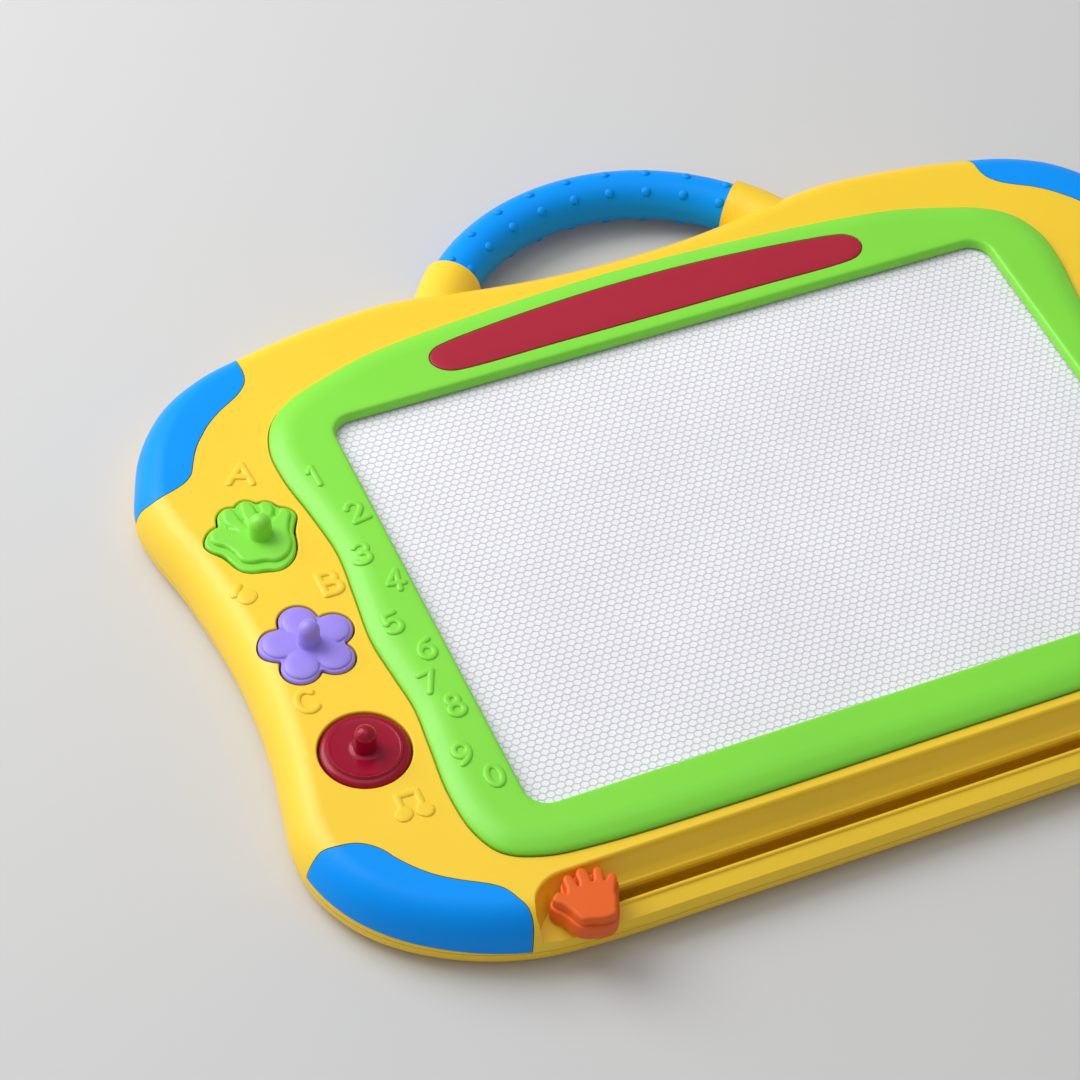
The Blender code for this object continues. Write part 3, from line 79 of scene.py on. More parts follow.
# Outlines about the middle of their own piece
HAND = [
    (-17.5, 2.2), (-15.9, 5.6), (-13.5, 7.9), (-11.4, 8.6), (-10.1, 9.1), (-9.6, 11.3),
    (-8.4, 14.0), (-5.4, 15.9), (-3.0, 15.6), (-1.9, 15.1), (-0.5, 16.2), (1.9, 17.1),
    (4.5, 16.0), (6.0, 14.1), (8.4, 14.2), (10.9, 13.3), (12.5, 10.1), (14.9, 8.8),
    (16.7, 6.8), (17.2, 4.3), (15.4, 0.9), (13.6, -2.7), (13.1, -5.7), (11.9, -9.7),
    (9.5, -13.7), (6.0, -16.3), (2.5, -17.1), (-1.4, -15.8), (-6.0, -15.0), (-9.5, -12.8),
    (-11.4, -8.6), (-13.0, -4.4), (-16.3, -1.0),
]
HAND_TIER = [
    (-15.2, 3.4), (-14.0, 6.3), (-11.2, 7.3), (-7.7, 6.2), (-8.1, 9.7), (-7.5, 12.8),
    (-5.8, 14.7), (-3.5, 14.4), (-2.5, 11.8), (-1.5, 7.7), (-0.8, 11.8), (0.0, 14.8),
    (1.9, 15.7), (3.9, 14.3), (4.5, 11.8), (5.2, 9.7), (6.5, 12.7), (8.5, 13.5),
    (10.4, 12.1), (10.9, 9.7), (10.2, 6.3), (13.0, 8.1), (15.0, 7.3), (15.4, 4.8),
    (13.5, 1.3), (11.9, -2.7), (11.5, -6.7), (9.5, -10.7), (6.5, -13.2), (3.0, -13.9),
    (-0.5, -12.5), (-5.4, -11.7), (-8.2, -9.7), (-9.5, -5.6), (-11.4, -1.7), (-14.2, 0.8),
]
KNOB = [
    (-11.2, 2.3), (-10.4, 3.4), (-8.7, 4.2), (-6.8, 2.6), (-5.4, 4.8), (-5.2, 7.8),
    (-4.0, 9.4), (-2.6, 8.8), (-2.0, 6.3), (-1.7, 3.8), (-0.7, 5.3), (-0.2, 9.0),
    (1.3, 10.4), (2.8, 9.5), (3.2, 6.8), (3.0, 4.2), (4.0, 4.5), (5.0, 7.0),
    (5.7, 8.3), (7.0, 8.8), (8.0, 7.5), (7.5, 5.3), (7.0, 2.8), (8.2, 3.6),
    (9.5, 4.8), (11.0, 4.7), (11.2, 3.2), (10.2, 1.3), (8.5, -1.7), (8.0, -4.2),
    (6.5, -7.4), (5.5, -9.7), (3.0, -10.4), (0.0, -10.0), (-3.0, -9.0), (-5.5, -8.2),
    (-6.5, -6.2), (-7.5, -3.2), (-9.0, -0.5), (-10.2, 0.6),
]

# The nameplate's left half, about the middle of the screen
NAMEPLATE_HALF = [
    (0.0, 118.8), (-22.1, 118.4), (-44.1, 117.1), (-66.2, 115.0), (-79.5, 113.2), (-84.3, 111.9),
    (-87.4, 109.2), (-88.3, 106.0), (-87.0, 102.6), (-83.9, 100.0), (-79.5, 98.8), (-39.7, 98.7), (0.0, 98.6),
]

# Heights, half sizes and places
PARTING = 8.0
CASE_TOP = 24.0
CREST = 28.0
OVERRUN = 6.0
SKIN = 2.4
INSIDE_FOOT = 6.0
SHOULDER_INSET = 12.0
SHOULDER_RISE = CASE_TOP - PARTING
SHOULDER_POWER = 2.1
BELLY_INSET = 5.0
SCREEN = (133.3, 92.25)
SCREEN_CORNER = 8.0
HAND_AT = (-176.5, 53.2)
FLOWER_AT = (-176.1, 1.2)
DISC_AT = (-175.0, -47.6)
PEN_AT = (176.0, 2.0)
PEN_HEIGHT = 22.6
ERASER_X = -130.0
SLOT_HALF = 140.0
HANDLE_MIDDLE = Vector((0.0, 99.4, 11.5))
HANDLE_ARC = 81.0


# Outline tools

def smooth_step(t):
    t = min(max(t, 0.0), 1.0)
    return t * t * (3 - 2 * t)


def smooth_loop(points, steps):
    """Smooth closed curve through the points, with so many steps from one to the next."""
    loop = []
    pts = [Vector(p) for p in points]
    count = len(pts)
    for i in range(count):
        p0, p1, p2, p3 = (pts[(i + k) % count] for k in (-1, 0, 1, 2))
        t1 = math.sqrt((p1 - p0).length)
        t2 = t1 + math.sqrt((p2 - p1).length)
        t3 = t2 + math.sqrt((p3 - p2).length)
        for step in range(steps):
            t = t1 + (t2 - t1) * step / steps
            a1 = p0.lerp(p1, t / t1)
            a2 = p1.lerp(p2, (t - t1) / (t2 - t1))
            a3 = p2.lerp(p3, (t - t2) / (t3 - t2))
            b1 = a1.lerp(a2, t / t2)
            b2 = a2.lerp(a3, (t - t1) / (t3 - t1))
            loop.append(b1.lerp(b2, (t - t1) / (t2 - t1)))
    return loop


def with_mirror(half):
    return list(half) + [(-x, y) for x, y in reversed(half[1:-1])]


def mirrored(loop):
    """The outline on the board's other side, wound the same way."""
    return [Vector((-p.x, p.y)) for p in reversed(loop)]


SOUND_SHARE = 0.96


def gap_to(points, loop):
    """Distance from each point to the nearest edge of a closed outline."""
    start = np.array([tuple(p) for p in loop])
    span = np.roll(start, -1, axis=0) - start
    off = np.array([tuple(p) for p in points])[:, None, :] - start[None]
    share = np.clip((off * span).sum(2) / (span ** 2).sum(1), 0, 1)
    return np.sqrt(((off - share[..., None] * span) ** 2).sum(2)).min(1)


def inset_loop(loop, distance, check=True):
    """Moves an outline inwards; points that come too near its edge are spread between sound ones."""
    if distance == 0:
        return [p.copy() for p in loop]
    area = sum(p.x * q.y - q.x * p.y for p, q in zip(loop, loop[1:] + loop[:1]))
    turn = 1.0 if area > 0 else -1.0
    moved = []
    for i, point in enumerate(loop):
        along = (loop[(i + 1) % len(loop)] - loop[i - 1]).normalized()
        moved.append(point + Vector((-along.y, along.x)) * turn * distance)
    if not check:
        return moved
    count = len(loop)
    sound = gap_to(moved, loop) > abs(distance) * SOUND_SHARE
    spread = list(moved)
    for i in range(count):
        if not sound[i]:
            back = next(k for k in range(1, count) if sound[(i - k) % count])
            ahead = next(k for k in range(1, count) if sound[(i + k) % count])
            spread[i] = moved[(i - back) % count].lerp(moved[(i + ahead) % count], back / (back + ahead))
    return spread


def circle_loop(radius, steps, middle=(0.0, 0.0)):
    return [Vector((middle[0] + radius * math.cos(math.tau * i / steps),
                    middle[1] + radius * math.sin(math.tau * i / steps))) for i in range(steps)]


def rounded_rectangle(half_x, half_y, corner, steps, middle=(0.0, 0.0)):
    loop = []
    for sx, sy, turn in ((1, 1, 0.0), (-1, 1, 0.25), (-1, -1, 0.5), (1, -1, 0.75)):
        for step in range(steps + 1):
            a = math.tau * (turn + step / steps / 4)
            loop.append(Vector((middle[0] + sx * (half_x - corner) + corner * math.cos(a),
                                middle[1] + sy * (half_y - corner) + corner * math.sin(a))))
    return loop


def around_screen(margin, steps, corner=SCREEN_CORNER):
    return rounded_rectangle(SCREEN[0] + margin, SCREEN[1] + margin, corner, steps)


def placed(loop, middle):
    return [Vector((p.x + middle[0], p.y + middle[1])) for p in loop]


# Mesh tools

def linked(name, data):
    obj = bpy.data.objects.new(name, data)
    bpy.context.scene.collection.objects.link(obj)
    return obj


def raw_object(name, bm):
    bmesh.ops.recalc_face_normals(bm, faces=bm.faces)
    mesh = bpy.data.meshes.new(name)
    bm.to_mesh(mesh)
    bm.free()
    return linked(name, mesh)


def add_loft(bm, rings, closed=False):
    """Joins rings of equal count; the first and last are capped unless the loft closes on itself."""
    rows = [[bm.verts.new(p) for p in ring] for ring in rings]
    pairs = list(zip(rows, rows[1:]))
    if closed:
        pairs.append((rows[-1], rows[0]))
    for low, high in pairs:
        for i in range(len(low)):
            j = (i + 1) % len(low)
            bm.faces.new((low[i], low[j], high[j], high[i]))
    if not closed:
        bm.faces.new(rows[0])
        bm.faces.new(rows[-1])


def lofted(name, rings, closed=False):
    bm = bmesh.new()
    add_loft(bm, rings, closed)
    return raw_object(name, bm)


def raised(loop, z):
    return [Vector((p.x, p.y, z)) for p in loop]


def softened(loop, rounds):
    """Rounds sharp creases by averaging each point with its neighbours."""
    for _ in range(rounds):
        loop = [(loop[i - 1] + loop[i] * 2 + loop[(i + 1) % len(loop)]) / 4 for i in range(len(loop))]
    return loop


ROUNDS_PER_MM = 5


def stacked(name, outline, profile, check=True):
    """Upright solid of an outline at the (inset, height) pairs of a profile."""
    rings = []
    for inset, z in profile:
        ring = inset_loop(outline, inset, check)
        if check:
            ring = softened(ring, round(abs(inset) * ROUNDS_PER_MM))
        rings.append(raised(ring, z))
    return lofted(name, rings)


def prism(name, outline, low, high):
    return stacked(name, outline, [(0.0, low), (0.0, high)], False)


def turned(name, profile, segments, middle=(0.0, 0.0)):
    """Solid turned about an upright axis from (radius, height) pairs."""
    bm = bmesh.new()
    rows = []
    for radius, z in profile:
        ring = circle_loop(radius, segments, middle) if radius else [Vector(middle)]
        rows.append([bm.verts.new((p.x, p.y, z)) for p in ring])
    for low, high in zip(rows, rows[1:]):
        for i in range(segments):
            j = (i + 1) % segments
            corners = [low[i % len(low)], low[j % len(low)], high[j % len(high)], high[i % len(high)]]
            bm.faces.new(list(dict.fromkeys(corners)))
    return raw_object(name, bm)


def block(name, low, high):
    bm = bmesh.new()
    bmesh.ops.create_cube(bm, size=1.0)
    size = Vector(high) - Vector(low)
    middle = (Vector(high) + Vector(low)) / 2
    bmesh.ops.transform(bm, matrix=Matrix.Translation(middle) @ Matrix.Diagonal((*size, 1.0)), verts=bm.verts)
    return raw_object(name, bm)


def extruded_x(name, section, half_length):
    """Solid of a (y, z) section, as long to the left as to the right."""
    return lofted(name, [[Vector((x, y, z)) for y, z in section] for x in (-half_length, half_length)])


def handle_point(degrees):
    """Outward direction and middle of the handle at an angle from the arc's top."""
    a = math.radians(degrees)
    out = Vector((math.sin(a), math.cos(a), 0.0))
    return out, HANDLE_MIDDLE + out * HANDLE_ARC


def arc_tube(name, radius, start, end, steps, sides):
    """Round tube along the handle's arc; angles in degrees from the arc's top."""
    rings = []
    for i in range(steps + 1):
        out, centre = handle_point(start + (end - start) * i / steps)
        rings.append([centre + out * radius * math.cos(math.tau * k / sides)
                      + UP * radius * math.sin(math.tau * k / sides) for k in range(sides)])
    return lofted(name, rings)


def merge(name, pieces):
    """One object from several separate bodies."""
    bm = bmesh.new()
    for piece in pieces:
        bm.from_mesh(piece.data)
        bpy.data.objects.remove(piece, do_unlink=True)
    return raw_object(name, bm)


def boolean(operation, target, *tools):
    """Cuts, joins or keeps the target with each tool in turn; the tools are used up."""
    for tool in tools:
        step = target.modifiers.new("cut", "BOOLEAN")
        step.operation = operation
        step.solver = "EXACT"
        step.object = tool
        bpy.context.view_layer.update()
        shape = bpy.data.meshes.new_from_object(target.evaluated_get(bpy.context.evaluated_depsgraph_get()))
        target.modifiers.remove(step)
        old = target.data
        target.data = shape
        bpy.data.meshes.remove(old)
        bpy.data.objects.remove(tool, do_unlink=True)
    return target


cut = partial(boolean, "DIFFERENCE")
join = partial(boolean, "UNION")
keep = partial(boolean, "INTERSECT")


def to_frame(offset=(0.0, 0.0, 0.0)):
    """Matrix from a piece's millimetres to the frame's metres."""
    shift = Vector(offset) * MM + Vector((0, SHIFT_Y, 0))
    return Matrix.Translation(shift) @ Matrix.Diagonal((MM, MM, MM, 1.0))


BEVEL_FROM = 40.0


def finish_piece(piece, name, body, material, node, angle=35.0, bevel=0.0, offset=(0.0, 0.0, 0.0)):
    """Brings a piece into the frame, shades it and gives it to its body in place of the CAD's node."""
    piece.name = name
    piece.data.name = name
    piece.data.transform(to_frame(offset))
    if bevel:
        step = piece.modifiers.new("soft_edges", "BEVEL")
        step.width = bevel * MM
        step.segments = 2
        step.limit_method = "ANGLE"
        step.angle_limit = math.radians(BEVEL_FROM)
    piece.data.materials.clear()
    piece.data.materials.append(material)
    piece.data.shade_smooth()
    piece.data.set_sharp_from_angle(angle=math.radians(angle))
    weigh = piece.modifiers.new("even_shading", "WEIGHTED_NORMAL")
    weigh.keep_sharp = True
    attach(piece, body)
    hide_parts(node)


# Materials

DRIFT_SCALE = 14.0
GLOSS_SCALE = 60.0
COLOUR_SPREAD = 0.03
GLOSS_SPREAD = 0.05
RAMP_PLACES = (0.3, 0.7)
GRAIN_DEPTH = 0.0004
COAT_ROUGHNESS = 0.12
FILM_ALPHA = 0.05


def srgb(*channels):
    """Linear colour from screen values of 0 to 255."""
    shares = [value / 255 for value in channels]
    return tuple(s / 12.92 if s <= 0.04045 else ((s + 0.055) / 1.055) ** 2.4 for s in shares)


def set_inputs(node, values):
    for socket, value in values.items():
        node.inputs[socket].default_value = value


def plastic(name, colour, roughness, grain=0.02, coat=0.0, metallic=0.0, shine=0.5, grain_scale=900.0):
    """Moulded plastic: slow colour drift, uneven gloss and a fine mould texture."""
    mat = bpy.data.materials.new(name)
    mat.use_nodes = True
    nodes = mat.node_tree.nodes
    links = mat.node_tree.links
    shader = nodes["Principled BSDF"]
    coords = nodes.new("ShaderNodeTexCoord")

    def noise(scale, detail):
        texture = nodes.new("ShaderNodeTexNoise")
        set_inputs(texture, {"Scale": scale, "Detail": detail})
        links.new(coords.outputs["Object"], texture.inputs["Vector"])
        return texture.outputs["Fac"]

    ramp = nodes.new("ShaderNodeValToRGB")
    for element, place, sign in zip(ramp.color_ramp.elements, RAMP_PLACES, (-1, 1)):
        element.color = (*(min(1.0, c * (1 + sign * COLOUR_SPREAD)) for c in colour), 1.0)
        element.position = place
    gloss_range = nodes.new("ShaderNodeMapRange")
    set_inputs(gloss_range, {"To Min": roughness - GLOSS_SPREAD, "To Max": roughness + GLOSS_SPREAD})
    bump = nodes.new("ShaderNodeBump")
    set_inputs(bump, {"Strength": grain, "Distance": GRAIN_DEPTH})
    links.new(noise(DRIFT_SCALE, 3.0), ramp.inputs["Fac"])
    links.new(noise(GLOSS_SCALE, 5.0), gloss_range.inputs["Value"])
    links.new(noise(grain_scale, 2.0), bump.inputs["Height"])
    links.new(ramp.outputs["Color"], shader.inputs["Base Color"])
    links.new(gloss_range.outputs["Result"], shader.inputs["Roughness"])
    links.new(bump.outputs["Normal"], shader.inputs["Normal"])
    set_inputs(shader, {"Metallic": metallic, "Coat Weight": coat, "Coat Roughness": COAT_ROUGHNESS,
                        "Specular IOR Level": shine})
    return mat


YELLOW = plastic("yellow_moulded", srgb(250, 208, 42), 0.42)
GREEN = plastic("green_moulded", srgb(130, 224, 60), 0.40)
BLUE = plastic("blue_moulded", srgb(0, 150, 252), 0.40, shine=0.14)
CRIMSON = plastic("crimson_panel", srgb(171, 34, 56), 0.40, shine=0.25)
RED = plastic("red_glossy", srgb(156, 6, 44), 0.22, grain=0.005, coat=0.15, shine=0.22)
PURPLE = plastic("purple_moulded", srgb(157, 138, 238), 0.36, shine=0.4)
ORANGE = plastic("orange_moulded", srgb(234, 100, 30), 0.38, shine=0.3)
WHITE = plastic("white_moulded", srgb(228, 228, 230), 0.5)
CELL = plastic("cell_fluid", srgb(247, 246, 251), 0.45, grain=0.01)
WALL = plastic("cell_walls", srgb(212, 212, 220), 0.5, grain=0.01)
MAGNET = plastic("bonded_magnet", srgb(46, 44, 44), 0.65, grain=0.12, grain_scale=1500.0)
STEEL = plastic("turned_steel", srgb(190, 190, 188), 0.32, grain=0.04, metallic=1.0)
FILM = plastic("clear_film", srgb(236, 236, 242), 0.22, grain=0.004)
set_inputs(FILM.node_tree.nodes["Principled BSDF"], {"Alpha": FILM_ALPHA})


# Side profiles, in (inset, height) pairs

RIM_OVERSHOOT = 1.02


def quarter(steps):
    """Angles of a quarter turn, from 0 on."""
    return [math.tau / 4 * step / steps for step in range(steps + 1)]


def shoulder_profile(low, depth=0.0, steps=16):
    """Rolled upper side of the case; depth gives the same side that much further in."""
    profile = [(depth, low)]
    for a in quarter(steps)[1:]:
        across = max(math.cos(a), 0.0) ** (2 / SHOULDER_POWER)
        rise = math.sin(a) ** (2 / SHOULDER_POWER)
        normal = Vector((across ** (SHOULDER_POWER - 1) / SHOULDER_INSET,
                         rise ** (SHOULDER_POWER - 1) / SHOULDER_RISE)).normalized()
        profile.append((SHOULDER_INSET * (1 - across) + depth * normal.x,
                        PARTING + SHOULDER_RISE * rise - depth * normal.y))
    return profile


def belly_profile(high, steps=6):
    """Rounded underside of the case, from the floor up to the seam."""
    turns = reversed(quarter(steps)[1:])
    return [(BELLY_INSET * (1 - math.cos(a)), PARTING * (1 - math.sin(a))) for a in turns] + [(0.0, high)]


def flared_profile(low, rim, steps=5):
    """Upright side of a cutter whose rim rounds the edge of the opening in the case's top."""
    foot = CASE_TOP - rim
    curl = [(-rim * (1 - math.cos(a)), foot + rim * RIM_OVERSHOOT * math.sin(a)) for a in quarter(steps)[1:]]
    return [(0.0, low), (0.0, foot)] + curl + [(-rim, CASE_TOP + OVERRUN)]


def rounded_top(low, high, edge, steps):
    arch = [(edge * (1 - math.cos(a)), high - edge + edge * math.sin(a)) for a in quarter(steps)]
    return [(0.0, low)] + arch


# Smoothed outlines and shapes that several pieces share

case_fine = smooth_loop(with_mirror(CASE_HALF), 6)
case_plain = smooth_loop(with_mirror(CASE_HALF), 2)
bezel_fine = smooth_loop(with_mirror(BEZEL_HALF), 7)
rear_guard = smooth_loop(REAR_GUARD, 5)
front_guard = smooth_loop(FRONT_GUARD, 5)
guard_outlines = {"rear_left": rear_guard, "rear_right": mirrored(rear_guard),
                  "front_left": front_guard, "front_right": mirrored(front_guard)}
hand_fine = smooth_loop(HAND, 6)
hand_tier_fine = smooth_loop(HAND_TIER, 6)
knob_fine = smooth_loop(KNOB, 6)

SOCKET_RADIUS = 11.3
SOCKET_ANGLES = (46.0, 64.0)
BORE_RADIUS = 9.75
BORE_ANGLES = (44.0, 57.0)
BOARD_REACH = 220.0
GUARD_FOOT = 8.5
GUARD_FOOT_FROM = 150.0
GUARD_FOOT_SLOPE = 0.04


def sockets(low, high):
    """The two tubes that hold the handle's ends, between two heights."""
    tubes = []
    for side in (-1, 1):
        start, end = (side * angle for angle in SOCKET_ANGLES)
        tube = arc_tube("socket", SOCKET_RADIUS, start, end, 10, 48)
        tubes.append(keep(tube, block("slab", (-BOARD_REACH, 0, low), (BOARD_REACH, BOARD_REACH, high))))
    return merge("sockets", tubes)


def socket_bores():
    start, end = BORE_ANGLES
    bores = [arc_tube("bore", BORE_RADIUS, side * start, side * end, 8, 40) for side in (-1, 1)]
    return merge("bores", bores)


def guard_prism(outline, gap=0.0):
    """The guard's plan, with a foot that rises towards the board's sides."""
    feet = []
    for p in outline:
        rise = GUARD_FOOT_SLOPE * (abs(p.x) - GUARD_FOOT_FROM)
        feet.append(Vector((p.x, p.y, GUARD_FOOT - gap + rise)))
    return lofted("plan", [feet, raised(outline, CREST)])


# Domed plates and raised strokes

NET_STEP = 0.42
NET_ROW_SHARE = 0.87
NET_SPARE_ROWS = 8
NEAR_RIM = (0.1, 0.26)


def domed(name, outline, low, high, edge, rise=None):
    """A plate with upright sides whose top swells from the outline; rise gives the swelling at a point."""
    inner = [p for inset in NEAR_RIM for p in softened(inset_loop(outline, inset), 1)]
    count = int(max(max(abs(p.x), abs(p.y)) for p in outline) / NET_STEP) + 1
    rows = count + NET_SPARE_ROWS
    net = [Vector((i * NET_STEP + (j % 2) * NET_STEP / 2, j * NET_STEP * NET_ROW_SHARE))
           for j in range(-rows, rows + 1) for i in range(-count, count + 1)]
    inner += [p for p, gap in zip(net, gap_to(net, outline)) if gap > NET_STEP]
    size = len(outline)
    edges = [(i, (i + 1) % size) for i in range(size)]
    points, _, faces, _, _, _ = delaunay_2d_cdt(list(outline) + inner, edges, [], 1, 1e-5)
    bm = bmesh.new()
    verts = []
    for point, gap in zip(points, gap_to(points, outline)):
        if rise:
            lift = rise(point) if gap > 0.01 else 0.0
        else:
            lift = edge * math.sqrt(max(0.0, 1 - (1 - min(gap, edge) / edge) ** 2))
        verts.append(bm.verts.new((point.x, point.y, high - edge + lift)))
    for face in faces:
        bm.faces.new([verts[i] for i in face])
    foot = bmesh.ops.extrude_edge_only(bm, edges=[e for e in bm.edges if e.is_boundary])
    for item in foot["geom"]:
        if isinstance(item, bmesh.types.BMVert):
            item.co.z = low
    bmesh.ops.holes_fill(bm, edges=[e for e in bm.edges if e.is_boundary], sides=0)
    return raw_object(name, bm)


# Raised figures, as strokes in a unit square about the figure's middle

def bow(cx, cy, rx, ry, start, end, steps=16):
    """Arc of an ellipse between two angles in degrees."""
    turns = [math.radians(start + (end - start) * i / steps) for i in range(steps + 1)]
    return [(cx + rx * math.cos(a), cy + ry * math.sin(a)) for a in turns]


SIX = [bow(0.0, -0.2, 0.29, 0.3, 0, 360), bow(0.34, -0.16, 0.63, 0.66, 176, 112)]
FIGURES = {
    "1": [[(-0.17, 0.28), (0.04, 0.5)], [(0.04, 0.5), (0.04, -0.5)]],
    "2": [bow(0.0, 0.22, 0.29, 0.28, 165, -35) + [(-0.3, -0.46)], [(-0.3, -0.48), (0.33, -0.48)]],
    "3": [bow(-0.04, 0.26, 0.27, 0.24, 150, -88), bow(-0.04, -0.23, 0.32, 0.27, 88, -150)],
    "4": [[(0.12, 0.5), (0.12, -0.5)], [(0.1, 0.48), (-0.3, -0.16)], [(-0.3, -0.18), (0.34, -0.18)]],
    "5": [[(0.27, 0.48), (-0.18, 0.48)], [(-0.18, 0.48), (-0.23, 0.08)],
          bow(0.0, -0.18, 0.3, 0.31, 135, -150)],
    "6": SIX,
    "7": [[(-0.28, 0.4), (0.26, 0.5)], [(0.26, 0.5), (-0.1, -0.5)]],
    "8": [bow(0, 0.26, 0.22, 0.24, 0, 360), bow(0, -0.24, 0.29, 0.27, 0, 360)],
    "9": [[(-x, -y) for x, y in stroke] for stroke in SIX],
    "0": [bow(0, 0, 0.29, 0.48, 0, 360)],
    "A": [[(-0.44, -0.48), (0.0, 0.48)], [(0.0, 0.48), (0.44, -0.48)], [(-0.26, -0.16), (0.26, -0.16)]],
    "B": [[(-0.3, 0.5), (-0.3, -0.5)], [(-0.3, 0.5)] + bow(0.04, 0.25, 0.25, 0.25, 90, -90) + [(-0.3, 0.0)],
          [(-0.3, 0.0)] + bow(0.07, -0.25, 0.29, 0.25, 90, -90) + [(-0.3, -0.5)]],
    "C": [bow(0.0, 0.0, 0.38, 0.46, 48, 312)],
    "note_stems": [[(-0.4, 0.38), (-0.37, -0.2)], [(0.3, 0.42), (0.32, -0.18)]],
    "note_beam": [[(-0.34, 0.4), (0.26, 0.44)]],
    "note_heads": [[(-0.4, -0.4), (-0.34, -0.36)], [(0.32, -0.36), (0.38, -0.4)]],
    "fruit": [[(0.1, -0.2), (0.16, -0.16)]],
    "leaf": [[(-0.3, 0.12), (-0.04, 0.42)]],
}


STROKE_STEP = 0.45
STROKE_ACROSS = (-1.0, -0.93, -0.78, -0.55, -0.25, 0.0, 0.25, 0.55, 0.78, 0.93, 1.0)
STROKE_END_ANGLES = (86, 72, 58, 44, 30, 15)
THIN_FULLNESS = 2.4
BROAD_FULLNESS = 5
BROAD_FROM = 4.0
STROKE_TUCK = 0.05
STROKE_ROOT = 0.5
STACK_SHARE = 0.03
ABOVE_ALL = 60.0


def stroke_stations(path, half):
    """Middles along a stroke with its width's share at each, round at both ends."""
    dense = [path[0]]
    for start, end in zip(path, path[1:]):
        steps = max(1, round((end - start).length / STROKE_STEP))
        dense += [start.lerp(end, i / steps) for i in range(1, steps + 1)]
    ahead = (dense[1] - dense[0]).normalized()
    behind = (dense[-1] - dense[-2]).normalized()
    turns = [math.radians(a) for a in STROKE_END_ANGLES]
    stations = [(dense[0] - ahead * half * math.sin(a), math.cos(a)) for a in turns]
    stations += [(p, 1.0) for p in dense]
    return stations + [(dense[-1] + behind * half * math.sin(a), math.cos(a)) for a in reversed(turns)]


def emboss(base, figure, at, size, width, high, turn=0.0):
    """Raised rounded strokes that follow the surface under them."""
    surface = bmesh.new()
    surface.from_mesh(base.data)
    tree = BVHTree.FromBMesh(surface)
    spin = Matrix.Rotation(math.radians(turn), 2)
    bm = bmesh.new()
    half = width / 2
    fullness = THIN_FULLNESS if width < BROAD_FROM else BROAD_FULLNESS
    for number, stroke in enumerate(FIGURES[figure]):
        stations = stroke_stations([spin @ Vector(p) * size + Vector(at) for p in stroke], half)
        rings = []
        for i, (centre, share) in enumerate(stations):
            before = stations[max(i - 1, 0)][0]
            after = stations[min(i + 1, len(stations) - 1)][0]
            along = (after - before).normalized()
            across = Vector((-along.y, along.x))
            edge = 1 - math.sqrt(max(0.0, 1 - share * share))
            rise = (1 + STACK_SHARE * number) * high * (1 - (1 - edge) ** fullness) ** 0.5
            ring = []
            for c in STROKE_ACROSS:
                point = centre + across * half * share * c
                hit = tree.ray_cast((point.x, point.y, ABOVE_ALL), -UP)[0]
                ground = hit.z if hit else CASE_TOP
                lift = rise * math.sqrt(max(0.0, 1 - abs(c) ** fullness))
                tuck = STROKE_TUCK if abs(c) == 1 else 0.0
                ring.append(Vector((point.x, point.y, ground + lift - tuck)))
            root = ring[len(ring) // 2].z - high - STROKE_ROOT
            ring += [Vector((p.x, p.y, root)) for p in (ring[-1], ring[0])]
            rings.append(ring)
        add_loft(bm, rings)
    surface.free()
    return raw_object(figure, bm)


def with_figures(piece, figures):
    return merge(piece.name, [piece] + [emboss(piece, *figure) for figure in figures])


# Back cover

COVER_TOP = 7.85
COVER_SOCKETS = (1.0, 7.75)
IN_FLOOR = 1.2
# Radius, foot and top
BOSS = (5.0, IN_FLOOR, 7.65)
SCREW_RECESS = (3.2, -2.0, 4.0)
SCREW_HOLE = (1.7, 1.0, 10.0)
RAIL_WIDTH = 2.0
RAIL_TOP = 6.0
RAILS_Y = (-120.0, 99.0)

screw_places = [(s * x, y) for x, y in ((178, 112), (98, 131), (184, -90), (147, -101)) for s in (-1, 1)]


def at_screws(sides, radius, low, high):
    return merge("posts", [prism("post", circle_loop(radius, sides, p), low, high) for p in screw_places])


cover = stacked("cover", case_fine, belly_profile(COVER_TOP), False)
join(cover, sockets(*COVER_SOCKETS))
cover_inside = [(SKIN + 5.0, SKIN), (SKIN + 2.0, 3.3), (SKIN + 0.2, 6.0), (SKIN, 10.0)]
cut(cover, stacked("cover_inside", case_plain, cover_inside, False), socket_bores())
join(cover, at_screws(24, *BOSS))
cut(cover, at_screws(28, *SCREW_RECESS), at_screws(20, *SCREW_HOLE))
for y in RAILS_Y:
    join(cover, block("rail", (-SLOT_HALF, y, IN_FLOOR), (SLOT_HALF, y + RAIL_WIDTH, RAIL_TOP)))
finish_piece(cover, "moulded_back_cover", "case", YELLOW, "back_cover")


# Front shell

def petal_loop(reach, radius, steps=24):
    """Five round petals whose middles lie at a reach from the flower's middle."""
    half_turn = math.tau / 10
    crossing = reach * math.cos(half_turn) + math.sqrt(radius ** 2 - (reach * math.sin(half_turn)) ** 2)
    meeting = Vector((-math.sin(half_turn), math.cos(half_turn))) * crossing - Vector((0.0, reach))
    limit = math.atan2(-meeting.x, meeting.y)
    loop = []
    for petal in range(5):
        turn = Matrix.Rotation(math.tau * petal / 5, 2)
        for step in range(steps):
            a = -limit + 2 * limit * step / steps
            loop.append(turn @ Vector((-radius * math.sin(a), reach + radius * math.cos(a))))
    return loop


# Reach and radius of a petal
LOWER_PETAL = (10.6, 6.9)
HAND_GAP = 0.65
FLOWER_GAP = 0.6
DISC_POCKET_RADIUS = 16.0

